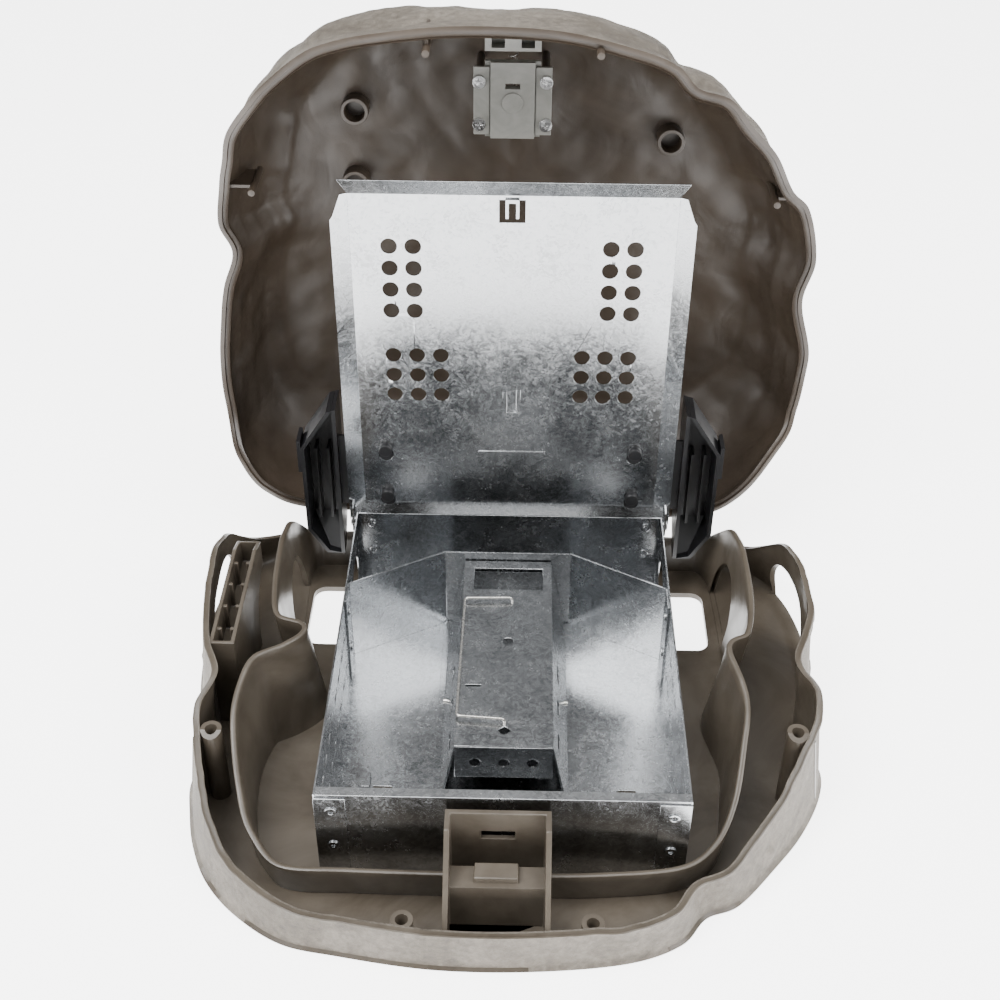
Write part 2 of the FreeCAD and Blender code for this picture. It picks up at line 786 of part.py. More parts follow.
def lid_panel():
    """The lid's sheet with vent holes, latch window, keyholes and pressings."""
    body = doc.addObject("PartDesign::Body", "lid_panel_body")
    sketch = new_sketch(body, "lid_outline")
    half = size("lid_half")
    rectangle(sketch, (-half, LID_FRONT), (half, LID_REAR), "2 * lid_half", "lid_long + 2")
    polygon(sketch, [(-8, -88), (7, -88), (7, -74), (-8, -74)])
    pad(body, sketch, "gauge")
    groups = (("front_vents", (-72, -58, 57, 71), -58, 4),
              ("middle_vents", (-72, -57.5, -43, 43, 57, 71), 15.5, 3))
    for name, columns, start, rows in groups:
        vents = new_sketch(body, name)
        for x in columns:
            hole(vents, x, start, "vent_radius")
        pattern(body, pocket(body, vents), vents, "V_Axis", size("vent_pitch"), rows)
    for side, x in (("left", -size("stud_x")), ("right", size("stud_x"))):
        for place, y in (("front", 90), ("rear", 126)):
            eye = new_sketch(body, "keyhole_%s_%s" % (side, place))
            hole(eye, x, y, "vent_radius")
            body.Tip = pocket(body, eye)
            neck = new_sketch(body, "keyhole_neck_%s_%s" % (side, place))
            polygon(neck, [(x - 2.5, y - 7.6), (x + 2.5, y - 7.6), (x + 2.5, y), (x - 2.5, y)])
            body.Tip = pocket(body, neck)
    body.Placement = Placement(Vector(0, 0, LID_UNDER), Rotation())
    bead = box("lid_bead", (-20, 86, "lid_pivot_z + lid_rise - 0.6"), (42, 11, 0.6))
    louvre = shape("lid_louvre", prism([(-5, 58, 0), (6, 58, 0), (6, 40, 0), (3.4, 40, 0), (3.4, 55, 0),
                                        (-2.4, 55, 0), (-2.4, 40, 0), (-5, 40, 0)],
                                       (0, 0, 2.2), (0, 0, LID_UNDER - 2.2)))
    return fuse("lid_panel_form", body, bead, louvre)


on_lid(lid_panel(), "lid_panel")


def lid_flange(name, side):
    """A sloping side flange with the ear that turns on the pivot rivet."""
    half = size("lid_half")
    top = LID_UNDER + size("gauge")
    drop = 6.0
    section = [(half, top), (half, top - 1), (half + size("lip_reach"), top - 1 - drop),
               (half + size("lip_reach"), top - drop)]
    slope = prism([(side * x, LID_FRONT, z) for x, z in section], (0, LID_REAR - LID_FRONT, 0))
    corner = prism([(side * 90, LID_FRONT - 1, 0), (side * 110, LID_FRONT - 1, 0),
                    (side * 110, LID_FRONT + 22, 0),
                    (side * (half + 8.4), LID_FRONT + 12, 0), (side * (half + 4), LID_FRONT, 0),
                    (side * 90, LID_FRONT - 0.5, 0)], (0, 0, 100))
    ear_x = 101 if side > 0 else -102.2
    ear = box(name + "_ear", (ear_x, 124, 57), (1.2, "lid_pivot_y - 119", 10.4))
    bore = rod(name + "_bore", (ear_x - 1, "lid_pivot_y", "lid_pivot_z"), "ear_radius", 4, "X")
    flange = fuse(name + "_solid", shape(name + "_slope", slope.cut(corner)), ear)
    return cut(name + "_form", flange, bore)


on_lid(lid_flange("lid_flange_left", -1), "lid_flange_left")
on_lid(lid_flange("lid_flange_right", 1), "lid_flange_right")


def lid_front_lip():
    """The turned-out lip along the lid's free edge."""
    half = size("lid_half")
    top = LID_UNDER + size("gauge")
    reach = size("lip_reach")
    section = [(LID_FRONT, top), (LID_FRONT, top - 1), (LID_FRONT - reach, top - 5.6),
               (LID_FRONT - reach, top - 4.6)]
    slope = prism([(-120, y, z) for y, z in section], (240, 0, 0))
    plan = prism([(-half, LID_FRONT, 0), (half, LID_FRONT, 0), (half + 5, LID_FRONT - reach, 0),
                  (-half - 5, LID_FRONT - reach, 0)], (0, 0, 100))
    return shape("lid_front_lip_form", slope.common(plan))


on_lid(lid_front_lip(), "lid_front_lip")
on_lid(shape("lid_catch_form", prism(
    [(-4.5, -77, 0), (-4.5, -89, 0), (3.5, -89, 0), (3.5, -77, 0), (1.5, -77, 0), (1.5, -86.5, 0),
     (-2.5, -86.5, 0), (-2.5, -77, 0)], (0, 0, 1.6), (0, 0, LID_UNDER - 1.6))), "lid_catch")


def pivot_rivet(name, side):
    """A shouldered rivet: shank through the ear, head outside it."""
    start = 100 if side > 0 else -103.4
    head = 102.4 if side > 0 else -103.4
    return fuse(name, rod(name + "_shank", (start, "lid_pivot_y", "lid_pivot_z"), 2.5, 3.4, "X"),
                rod(name + "_cap", (head, "lid_pivot_y", "lid_pivot_z"), 3.4, 1, "X"))


keep(fuse("lid_pivots", pivot_rivet("pivot_left", -1), pivot_rivet("pivot_right", 1)), "lid_pivot_rivets")


# Plastic hoods on the lid ----------------------------------------------------
HOOD_PLAN = [(110, 55), (116, 57), (134, 85), (134, 150), (122, 170), (110, 170)]
HOOD_LOW = 68.0
HOOD_TOP = 92.0


def hood(name, side):
    """A channel that roofs the way from the side entry into the trap."""
    wall = size("hood_wall")
    plan = HOOD_PLAN if side > 0 else [(-x, y) for x, y in reversed(HOOD_PLAN)]
    room_plan = inset(plan, wall)
    block = prism([(x, y, HOOD_LOW) for x, y in plan], (0, 0, HOOD_TOP - HOOD_LOW))
    room = prism([(x, y, HOOD_LOW - 1) for x, y in room_plan], (0, 0, HOOD_TOP - HOOD_LOW + 1 - wall))
    heel = prism([(-200, 173, 74), (-200, 151, 93), (-200, 173, 93)], (400, 0, 0))
    heel_room = heel.copy()
    heel_room.translate(Vector(0, -wall, -wall))
    form = block.cut(room.cut(heel_room)).cut(heel)
    for x in (118, 126):
        rib = Part.makeBox(1.8, 56, 11, Vector(side * x - 0.9, 92, HOOD_TOP - wall - 11))
        form = form.fuse(rib)
    flange_x = 70 if side > 0 else -112
    flange = Part.makeBox(42, 54, 2, Vector(flange_x, 77, 72))
    collar_x = 134 if side > 0 else -136.5
    collar = Part.makeBox(2.5, 24, 16, Vector(collar_x, 80, 69))
    return shape(name + "_form", form.fuse([flange, collar]).removeSplitter())


on_lid(hood("hood_left", -1), "hood_left")
on_lid(hood("hood_right", 1), "hood_right")

STUDS = []
for side, x in (("left", "-stud_x"), ("right", "stud_x")):
    for place, y in (("front", 85), ("rear", 121)):
        name = "stud_%s_%s" % (side, place)
        STUDS.append(fuse(name, rod(name + "_neck", (x, y, "lid_pivot_z + lid_rise"), 2.3, 1),
                          rod(name + "_head", (x, y, "lid_pivot_z + lid_rise - 4.5"), 4.2, 4.5)))
on_lid(fuse("hood_studs_form", *STUDS), "hood_studs")


# Cover, drawn closed ---------------------------------------------------------
LEVELS = [(14.0, 1.0, 1.0), (72.0, 1.0, 1.0), (98.0, 0.945, 0.94), (116.0, 0.85, 0.86), (128.0, 0.70, 0.74)]
CROWN = LEVELS[-1][0]


def cover_block(name, clearance):
    """The rock's outline stacked level by level, moved in by a clearance."""
    wires = []
    for z, across, along in LEVELS:
        level = z - (1 if z == LEVELS[0][0] else clearance if z == CROWN else 0) * (1 if clearance else 0)
        wires.append(sharp_wire(inset(stretched(BROW, across, along), clearance), level))
    return shape(name, loft(wires))


cover_outer = cover_block("cover_outer", 0)
cover_room = cover_block("cover_room", size("wall"))
below_parting = parting_block("below_parting", False, size("rim_gap"))
on_cover(cut("cover_shell_form", cut("cover_skin", cover_outer, cover_room), below_parting), "cover_shell")


def locating_pin(index, x, y):
    """A pin for one screw post, on a rib to the cover's wall."""
    level = parting_height(y)
    name = "locating_pin_%d" % index
    sideways = abs(x) > 100
    stem = rod(name + "_stem", (x, y, level - 6), 2.2, 36)
    outwards = 1 if x > 0 else -1
    if sideways:
        rib = box(name + "_rib", (x if outwards > 0 else x - 24, y - 1, level + 4), (24, 2, 24))
    else:
        rib = box(name + "_rib", (x - 1, y - 24, level + 4), (2, 24, 24))
    return common(name + "_inside", fuse(name + "_solid", stem, rib), cover_room)


pins = fuse("pins", *[locating_pin(index, x, y) for index, (x, y) in enumerate(POSTS, start=1)])
on_cover(pins, "locating_pins")

CUPS = [(-104, -76), (-106, -26), (101, -58)]


def weight_cup(index, x, y):
    """A short round cup on the inside of the crown."""
    name = "cup_%d" % index
    start = CROWN - size("wall") - 13
    return cut(name, rod(name + "_wall", (x, y, start), 9, 13),
               rod(name + "_room", (x, y, start - 1), 6.6, 12))


cups = fuse("cups", *[weight_cup(index, x, y) for index, (x, y) in enumerate(CUPS, start=1)])
on_cover(common("crown_cups_form", cups, cover_room), "crown_cups")

cover_knuckles = []
for middle in HINGES:
    side = "left" if middle < 0 else "right"
    cover_knuckles.append(knuckle("cover_knuckle_" + side, middle - 9.5, middle + 9.5,
                                  (middle - 9.5, 170, "hinge_z + 1.6"), ("knuckle_long", "hinge_y - 170", 9)))
on_cover(cut("cover_knuckles_form", fuse("cover_knuckle_group", *cover_knuckles), cover_outer),
         "cover_hinge_knuckles")


# Latch, drawn closed ---------------------------------------------------------
LATCH_X = size("latch_x")
STRAP_Z = 75.0


def latch_strap(name, side):
    """A flat strap that holds one edge of the sliding bolt."""
    start = LATCH_X + (14 if side > 0 else -24)
    return box(name, (start, -120, STRAP_Z), (10, 43, 2))


on_cover(fuse("latch_straps_form", latch_strap("strap_left", -1), latch_strap("strap_right", 1)),
         "latch_straps")

SCREWS = [(LATCH_X + x, y) for x in (-20.5, 20.5) for y in (-111, -84)]


def latch_post(index, x, y):
    """A moulded post from the crown down to a strap."""
    return rod("latch_post_%d" % index, (x, y, STRAP_Z + 2), 2.6, CROWN - size("wall") - STRAP_Z - 2)


columns = fuse("columns", *[latch_post(index, x, y) for index, (x, y) in enumerate(SCREWS, start=1)])
on_cover(common("latch_posts_form", columns, cover_room), "latch_posts")


def pan_screw(index, x, y):
    """A pan-head screw with a cross recess."""
    name = "pan_screw_%d" % index
    head = rod(name + "_head", (x, y, STRAP_Z - 2), 4, 2)
    recess = [box("%s_recess_%d" % (name, turn), (x - long / 2, y - wide / 2, STRAP_Z - 2.1),
                  (long, wide, 1.1))
              for turn, (long, wide) in enumerate(((4.4, 1.0), (1.0, 4.4)))]
    return cut(name, head, *recess)


screws = fuse("latch_screws_form", *[pan_screw(index, x, y) for index, (x, y) in enumerate(SCREWS, start=1)])
on_cover(screws, "latch_screws")


def latch_bolt():
    """The sliding plate: ears under the straps, key slot and thumb boss."""
    middle = LATCH_X
    raised = box("bolt_raised", (middle - 13.6, -123, STRAP_Z - 1), (27.2, 48, 6))
    ears = box("bolt_ears", (middle - 17, -123, STRAP_Z + 2.3), (34, 48, 2.7))
    lug = box("bolt_lug", (middle - 3, -104, STRAP_Z + 5), (6, 3, 7))
    boss = rod("bolt_boss", (middle, -98, STRAP_Z - 1.8), 6.4, 0.8)
    slot = box("bolt_slot", (middle - 4.5, -110, STRAP_Z - 3), (9, 3.4, 20))
    hollow = box("bolt_hollow", (middle - 11, -121, STRAP_Z + 1.2), (22, 14, 20))
    return cut("latch_bolt_form", fuse("bolt_solid", raised, ears, lug, boss), slot, hollow)


on_cover(latch_bolt(), "latch_bolt")


def latch_spring():
    """The compression spring between the bolt's lug and the bracket."""
    coil = Part.makeHelix(4.2, 25.2, 2.6)
    start = Vector(2.6, 0, 0)
    section = Part.Wire([Part.Circle(start, Vector(0, 1, 0), 0.45).toShape()])
    solid = Part.Wire(coil.Edges).makePipeShell([section], True, True)
    solid.rotate(Vector(), Vector(1, 0, 0), 90)
    solid.translate(Vector(LATCH_X, -104.5, STRAP_Z + 9))
    return shape("latch_spring_form", solid)


on_cover(latch_spring(), "latch_spring")


def key_bracket():
    """The fixed bracket in front of the bolt, with two square key holes."""
    middle = LATCH_X
    bar = box("bracket_bar", (middle - 17, -141, STRAP_Z - 1), (34, 11, 16))
    seat = rod("bracket_seat", (middle, -136.5, STRAP_Z + 9), 3.6, 10, "Y")
    holes = [box("bracket_hole_%d" % index, (middle + x, -138, STRAP_Z - 2), (8, 6, 10))
             for index, x in enumerate((-13, 5))]
    stems = [rod("bracket_stem_%d" % index, (middle + x, -135.5, STRAP_Z + 15), 3, 60)
             for index, x in enumerate((-11, 11))]
    solid = cut("bracket_solid", fuse("bracket_whole", bar, *stems), seat, *holes)
    return common("key_bracket_form", solid, cover_room)


on_cover(key_bracket(), "key_bracket")


# Write every node ------------------------------------------------------------
def check_and_write():
    """Stop on any failed object, then write each node's solid."""
    failed = [item.Label for item in doc.Objects if "Invalid" in item.State or "Error" in item.State]
    if failed:
        raise RuntimeError("failed: " + ", ".join(failed))
    for label, piece in NODES.items():
        solid = piece.Shape
        if solid.isNull() or not solid.isValid() or not solid.Solids:
            raise RuntimeError("bad shape: " + label)
    os.makedirs("parts", exist_ok=True)
    for label, piece in NODES.items():
        piece.Shape.exportStep("parts/%s.step" % label)
        box_of = piece.Shape.BoundBox
        print("%-22s solids %d volume %9.0f x %.0f..%.0f y %.0f..%.0f z %.0f..%.0f" % (
            label, len(piece.Shape.Solids), piece.Shape.Volume, box_of.XMin, box_of.XMax,
            box_of.YMin, box_of.YMax, box_of.ZMin, box_of.ZMax))


doc.recompute()
check_and_write()
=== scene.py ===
# %% [markdown]
# # A bait station shaped like a rock
#
# The real object is two moulded stone-look shells joined by a hinge at the rear. A live-catch trap of
# galvanised sheet lies in the lower shell with its lid raised. The frame below holds every size and
# every moving part, so each visible piece here is built around it and rides on one of its bodies.

# %% Load the frame
import json
import math

import bmesh
import bpy
import numpy as np
from mathutils import Matrix, Vector, noise


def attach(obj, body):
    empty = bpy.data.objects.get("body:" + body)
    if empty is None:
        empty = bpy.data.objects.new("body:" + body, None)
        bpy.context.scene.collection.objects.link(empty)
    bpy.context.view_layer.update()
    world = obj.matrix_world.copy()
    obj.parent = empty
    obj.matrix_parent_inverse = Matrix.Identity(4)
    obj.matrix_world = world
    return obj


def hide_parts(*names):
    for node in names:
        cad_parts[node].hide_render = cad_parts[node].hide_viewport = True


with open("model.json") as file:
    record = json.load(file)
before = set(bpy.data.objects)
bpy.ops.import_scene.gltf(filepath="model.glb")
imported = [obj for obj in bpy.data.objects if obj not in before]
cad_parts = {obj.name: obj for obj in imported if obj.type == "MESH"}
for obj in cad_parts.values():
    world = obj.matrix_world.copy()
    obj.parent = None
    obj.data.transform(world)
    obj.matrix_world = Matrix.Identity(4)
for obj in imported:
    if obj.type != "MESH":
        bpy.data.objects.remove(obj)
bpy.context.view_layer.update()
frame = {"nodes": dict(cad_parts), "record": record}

nodes = frame["nodes"]

# %% [markdown]
# ## Camera
#
# The station is looked at from in front and above, with a normal lens. The camera's axes are written out
# from a pitch, a small yaw and a small roll, because a matrix of three axes has no order to get wrong.

# %% Camera
CAMERA_PLACE = Vector((0.0048, -0.6028, 0.6538))
PITCH_DOWN = math.radians(37.77)
YAW = math.radians(0.84)
ROLL = math.radians(0.48)

turn = Matrix.Rotation(YAW, 3, "Z")
ahead = turn @ Vector((0, math.cos(PITCH_DOWN), -math.sin(PITCH_DOWN)))
level_up = turn @ Vector((0, math.sin(PITCH_DOWN), math.cos(PITCH_DOWN)))
level_right = turn @ Vector((1, 0, 0))
right = level_right * math.cos(ROLL) + level_up * math.sin(ROLL)
up = level_up * math.cos(ROLL) - level_right * math.sin(ROLL)

lens = bpy.data.cameras.new("camera")
lens.lens = 52.0
lens.sensor_width = 36.0
lens.clip_start = 0.02
camera = bpy.data.objects.new("camera", lens)
bpy.context.collection.objects.link(camera)
axes = Matrix((right, up, -ahead)).transposed()
camera.matrix_world = Matrix.Translation(CAMERA_PLACE) @ axes.to_4x4()
bpy.context.scene.camera = camera
print("camera looks along", tuple(round(value, 3) for value in ahead))

# %% [markdown]
# ## Node tools
#
# Every material is a small graph. These helpers make a node, set its plain numbers and wire named
# sockets, so a material reads as a list of steps instead of a page of clicks.


# %% Node helpers
def add_node(tree, kind, **settings):
    """A node of one kind, with its properties and its input numbers set."""
    node = tree.nodes.new("ShaderNode" + kind)
    for key, value in settings.items():
        if hasattr(node, key):
            setattr(node, key, value)
        else:
            node.inputs[key.replace("_", " ")].default_value = value
    return node


def wire(tree, source, target):
    """Join an output socket to an input socket."""
    tree.links.new(source, target)


def math_node(tree, operation, first, second):
    """One sum; each side is a socket or a number."""
    node = tree.nodes.new("ShaderNodeMath")
    node.operation = operation
    for index, value in enumerate((first, second)):
        if isinstance(value, (int, float)):
            node.inputs[index].default_value = value
        else:
            wire(tree, value, node.inputs[index])
    return node.outputs[0]


def ramp(tree, factor, stops):
    """A colour ramp fed by a factor; each stop is a place and a colour."""
    node = tree.nodes.new("ShaderNodeValToRGB")
    band = node.color_ramp
    while len(band.elements) < len(stops):
        band.elements.new(0.5)
    for element, (place, colour) in zip(band.elements, stops):
        element.position = place
        if isinstance(colour, (int, float)):
            colour = (colour, colour, colour)
        element.color = (*colour, 1)
    wire(tree, factor, node.inputs["Fac"])
    return node.outputs["Color"]


def start_group(name, inputs, outputs):
    """An empty shader node group with named float inputs and named outputs."""
    tree = bpy.data.node_groups.new(name, "ShaderNodeTree")
    for label, value in inputs:
        socket = tree.interface.new_socket(name=label, in_out="INPUT", socket_type="NodeSocketFloat")
        socket.default_value = value
    for label, kind in outputs:
        tree.interface.new_socket(name=label, in_out="OUTPUT", socket_type="NodeSocket" + kind)
    return tree, tree.nodes.new("NodeGroupInput"), tree.nodes.new("NodeGroupOutput")


def place_group(tree, group, **values):
    """One use of a group inside a material."""
    node = tree.nodes.new("ShaderNodeGroup")
    node.node_tree = group
    for key, value in values.items():
        node.inputs[key.replace("_", " ")].default_value = value
    return node


# %% [markdown]
# ## Shared effects
#
# Three effects come back on many pieces, so each is one group. *Spangle* is the patchwork of zinc
# crystals on galvanised sheet. *Moulding* is the cloudy flow that plastic keeps from the mould. *Stone
# skin* is the pitted grain of the rock outside. Every group reads positions in metres.

# %% Spangle: zinc crystals
spangle, given, result = start_group(
    "spangle", [("Cell Scale", 260.0), ("Blotch Scale", 22.0)],
    [("Crystals", "Float"), ("Blotches", "Float"), ("Streaks", "Float")])
place = add_node(spangle, "TexCoord").outputs["Object"]
bend = add_node(spangle, "TexNoise", Scale=90.0, Detail=2.0)
wire(spangle, place, bend.inputs["Vector"])
shifted = spangle.nodes.new("ShaderNodeVectorMath")
shifted.operation = "MULTIPLY_ADD"
shifted.inputs[1].default_value = (0.012, 0.012, 0.012)
wire(spangle, bend.outputs["Color"], shifted.inputs[0])
wire(spangle, place, shifted.inputs[2])
cells = add_node(spangle, "TexVoronoi")
wire(spangle, shifted.outputs[0], cells.inputs["Vector"])
wire(spangle, given.outputs["Cell Scale"], cells.inputs["Scale"])
crystal = add_node(spangle, "SeparateColor")
wire(spangle, cells.outputs["Color"], crystal.inputs[0])
wire(spangle, crystal.outputs[0], result.inputs["Crystals"])
cloud = add_node(spangle, "TexNoise", Detail=7.0, Roughness=0.68, Distortion=0.6)
wire(spangle, place, cloud.inputs["Vector"])
wire(spangle, given.outputs["Blotch Scale"], cloud.inputs["Scale"])
wire(spangle, cloud.outputs["Fac"], result.inputs["Blotches"])
stretch = add_node(spangle, "Mapping")
stretch.inputs["Scale"].default_value = (700.0, 30.0, 30.0)
wire(spangle, place, stretch.inputs["Vector"])
lines = add_node(spangle, "TexNoise", Scale=1.0, Detail=3.0, Roughness=0.6)
wire(spangle, stretch.outputs[0], lines.inputs["Vector"])
wire(spangle, lines.outputs["Fac"], result.inputs["Streaks"])
print("group", spangle.name, "has", len(spangle.nodes), "nodes")

# %% Moulding: flow marks in plastic
moulding, given, result = start_group(
    "moulding", [("Flow Scale", 9.0), ("Wave Scale", 30.0)],
    [("Flow", "Float"), ("Waves", "Float"), ("Grain", "Float")])
place = add_node(moulding, "TexCoord").outputs["Object"]
flow = add_node(moulding, "TexNoise", Detail=5.0, Roughness=0.62, Distortion=2.2)
wire(moulding, place, flow.inputs["Vector"])
wire(moulding, given.outputs["Flow Scale"], flow.inputs["Scale"])
wire(moulding, flow.outputs["Fac"], result.inputs["Flow"])
waves = add_node(moulding, "TexNoise", Detail=2.5, Roughness=0.5, Distortion=0.8)
wire(moulding, place, waves.inputs["Vector"])
wire(moulding, given.outputs["Wave Scale"], waves.inputs["Scale"])
wire(moulding, waves.outputs["Fac"], result.inputs["Waves"])
grain = add_node(moulding, "TexNoise", Scale=1400.0, Detail=2.0)
wire(moulding, place, grain.inputs["Vector"])
wire(moulding, grain.outputs["Fac"], result.inputs["Grain"])
print("group", moulding.name, "has", len(moulding.nodes), "nodes")

# %% Stone skin: pits and veins of the rock outside
stone_skin, given, result = start_group(
    "stone skin", [("Pit Scale", 210.0), ("Patch Scale", 16.0)],
    [("Pits", "Float"), ("Patches", "Float"), ("Height", "Float")])
place = add_node(stone_skin, "TexCoord").outputs["Object"]
pits = add_node(stone_skin, "TexNoise", Detail=8.0, Roughness=0.72)
wire(stone_skin, place, pits.inputs["Vector"])
wire(stone_skin, given.outputs["Pit Scale"], pits.inputs["Scale"])
wire(stone_skin, pits.outputs["Fac"], result.inputs["Pits"])
patches = add_node(stone_skin, "TexNoise", Detail=6.0, Roughness=0.66, Distortion=1.0)
wire(stone_skin, place, patches.inputs["Vector"])
wire(stone_skin, given.outputs["Patch Scale"], patches.inputs["Scale"])
wire(stone_skin, patches.outputs["Fac"], result.inputs["Patches"])
chips = add_node(stone_skin, "TexVoronoi", Scale=75.0)
wire(stone_skin, place, chips.inputs["Vector"])
height = math_node(stone_skin, "ADD", math_node(stone_skin, "MULTIPLY", pits.outputs["Fac"], 1.0),
                   math_node(stone_skin, "MULTIPLY", chips.outputs["Distance"], 0.5))
wire(stone_skin, height, result.inputs["Height"])
print("group", stone_skin.name, "has", len(stone_skin.nodes), "nodes")

# %% [markdown]
# ## Finishes
#
# Plain numbers such as metallic or coat sit on the shader's own sockets. Only what changes over the
# surface is wired in: colour, roughness and the fine relief through a Bump node.


# %% Finish helper
def finish_start(name, metallic=0.0, coat=0.0):
    """A material with its shader ready to be wired."""
    material = bpy.data.materials.new(name)
    material.use_nodes = True
    tree = material.node_tree
    shader = tree.nodes["Principled BSDF"]
    shader.inputs["Metallic"].default_value = metallic
    shader.inputs["Coat Weight"].default_value = coat
    shader.inputs["Coat Roughness"].default_value = 0.25
    return material, tree, shader


def relief(tree, shader, height, depth, strength=1.0):
    """Fine relief from a height socket, in metres."""
    bump = add_node(tree, "Bump", Strength=strength, Distance=depth)
    wire(tree, height, bump.inputs["Height"])
    wire(tree, bump.outputs["Normal"], shader.inputs["Normal"])


# %% Galvanised sheet
def galvanised(name, tone):
    """Zinc-coated sheet: crystals, cloudy blotches and faint rolling lines."""
    material, tree, shader = finish_start(name, metallic=1.0)
    marks = place_group(tree, spangle, Cell_Scale=620.0, Blotch_Scale=34.0)
    mixed = math_node(tree, "ADD", math_node(tree, "MULTIPLY", marks.outputs["Crystals"], 0.22),
                      math_node(tree, "MULTIPLY", marks.outputs["Blotches"], 0.78))
    low = tuple(value * 0.70 for value in tone)
    high = tuple(min(1.0, value * 1.18) for value in tone)
    colour = ramp(tree, mixed, [(0.30, low), (0.52, tone), (0.78, high)])
    wire(tree, colour, shader.inputs["Base Color"])
    rough = ramp(tree, mixed, [(0.28, 0.15), (0.50, 0.21), (0.75, 0.32)])
    wire(tree, rough, shader.inputs["Roughness"])
    height = math_node(tree, "ADD", math_node(tree, "MULTIPLY", marks.outputs["Crystals"], 0.3),
                       math_node(tree, "MULTIPLY", marks.outputs["Streaks"], 0.5))
    relief(tree, shader, height, 0.00005, 0.5)
    return material


sheet_zinc = galvanised("sheet_zinc", (0.43, 0.44, 0.45))
print("made", sheet_zinc.name)


# %% Bright steel
def bright_metal(name, tone, rough_low, rough_high):
    """Drawn wire and small turned parts with a little tarnish."""
    material, tree, shader = finish_start(name, metallic=1.0)
    marks = place_group(tree, spangle, Cell_Scale=700.0, Blotch_Scale=160.0)
    colour = ramp(tree, marks.outputs["Blotches"], [(0.3, tuple(v * 0.7 for v in tone)), (0.65, tone)])
    wire(tree, colour, shader.inputs["Base Color"])
    rough = ramp(tree, marks.outputs["Blotches"], [(0.3, rough_high), (0.7, rough_low)])
    wire(tree, rough, shader.inputs["Roughness"])
    relief(tree, shader, marks.outputs["Streaks"], 0.00008, 0.4)
    return material


bright_wire = bright_metal("bright_wire", (0.78, 0.76, 0.72), 0.16, 0.34)
screw_zinc = bright_metal("screw_zinc", (0.74, 0.74, 0.74), 0.20, 0.40)
print("made", bright_wire.name, "and", screw_zinc.name)


# %% Moulded plastics
def moulded(name, dark, light, rough_low, rough_high, waves=0.0006, flow_scale=9.0, coat=0.0):
    """Moulded plastic with cloudy flow, soft waves and a fine grain."""
    material, tree, shader = finish_start(name, coat=coat)
    marks = place_group(tree, moulding, Flow_Scale=flow_scale, Wave_Scale=30.0)
    colour = ramp(tree, marks.outputs["Flow"], [(0.34, dark), (0.66, light)])
    wire(tree, colour, shader.inputs["Base Color"])
    rough = ramp(tree, marks.outputs["Waves"], [(0.35, rough_low), (0.68, rough_high)])
    wire(tree, rough, shader.inputs["Roughness"])
    height = math_node(tree, "ADD", marks.outputs["Waves"],
                       math_node(tree, "MULTIPLY", marks.outputs["Grain"], 0.05))
    relief(tree, shader, height, waves, 0.8)
    return material


base_grey = moulded("base_grey", (0.054, 0.043, 0.031), (0.100, 0.084, 0.065), 0.28, 0.40, 0.0009)
# Painted shade: the cover's own plastic is the same pale grey-beige as its rim, and this darker brown stands
# in for the shade inside the open shell.
cover_painted_shade = moulded("cover_painted_shade", (0.034, 0.024, 0.016), (0.056, 0.042, 0.030), 0.36, 0.50, 0.0012, 6.0)
hood_black = moulded("hood_black", (0.006, 0.006, 0.007), (0.011, 0.011, 0.012), 0.28, 0.42, 0.0003, 40.0)
latch_grey = moulded("latch_grey", (0.190, 0.188, 0.172), (0.240, 0.236, 0.216), 0.30, 0.42, 0.0002, 40.0)
print("made four plastics")


# %% Rock outside
def rock(name, dark, middle, light):
    """Stone-look outer skin: dark pits, mottled patches and pale high spots."""
    material, tree, shader = finish_start(name)
    marks = place_group(tree, stone_skin)
    mixed = math_node(tree, "ADD", math_node(tree, "MULTIPLY", marks.outputs["Pits"], 0.55),
                      math_node(tree, "MULTIPLY", marks.outputs["Patches"], 0.45))
    colour = ramp(tree, mixed, [(0.36, dark), (0.50, middle), (0.66, light)])
    wire(tree, colour, shader.inputs["Base Color"])
    wire(tree, ramp(tree, marks.outputs["Pits"], [(0.3, 0.55), (0.7, 0.78)]), shader.inputs["Roughness"])
    relief(tree, shader, marks.outputs["Height"], 0.0016, 0.9)
    return material


rock_skin = rock("rock_skin", (0.060, 0.049, 0.037), (0.125, 0.108, 0.086), (0.225, 0.200, 0.168))
print("made", rock_skin.name)

# %% [markdown]
# ## The rock outline
#
# Each shell has its outline seen from above, and the cover's overhangs the base's at the sides. An
# outline is a list of corners in millimetres, and a smooth closed curve through them gives the points
# of the mesh. Heights follow a parting line, in metres, that is low at the front and the rear and high
# at the sides, like the arms of a chair.

# %% Outlines
MM = 0.001
AROUND = 640
RIM = [
    (0, 179), (-70, 179), (-136, 176), (-166, 164), (-182, 142), (-188, 108), (-187, 66),
    (-183, 32), (-178, 8), (-170, -14), (-176, -36), (-173, -58), (-167, -82), (-156, -106),
    (-138, -127), (-112, -145), (-82, -152), (-34, -159), (16, -159), (64, -153), (92, -141),
    (106, -124), (124, -115), (147, -88), (163, -66), (176, -40), (180, -18), (172, 2), (181, 28),
    (186, 58), (186, 92), (180, 126), (166, 152), (134, 174), (70, 179),
]
BAY = [
    (0, 175), (-110, 174), (-137, 170), (-148, 152), (-148, 108), (-146, 62), (-140, 34),
    (-123, 25), (-132, 13), (-148, 2), (-155, -18), (-157, -42), (-153, -74), (-144, -101),
    (-122, -123), (-80, -126), (0, -127), (50, -126), (98, -120), (122, -104), (134, -80),
    (139, -50), (141, -22), (134, 14), (146, 26), (152, 60), (152, 110), (149, 150), (137, 170),
    (110, 174),
]
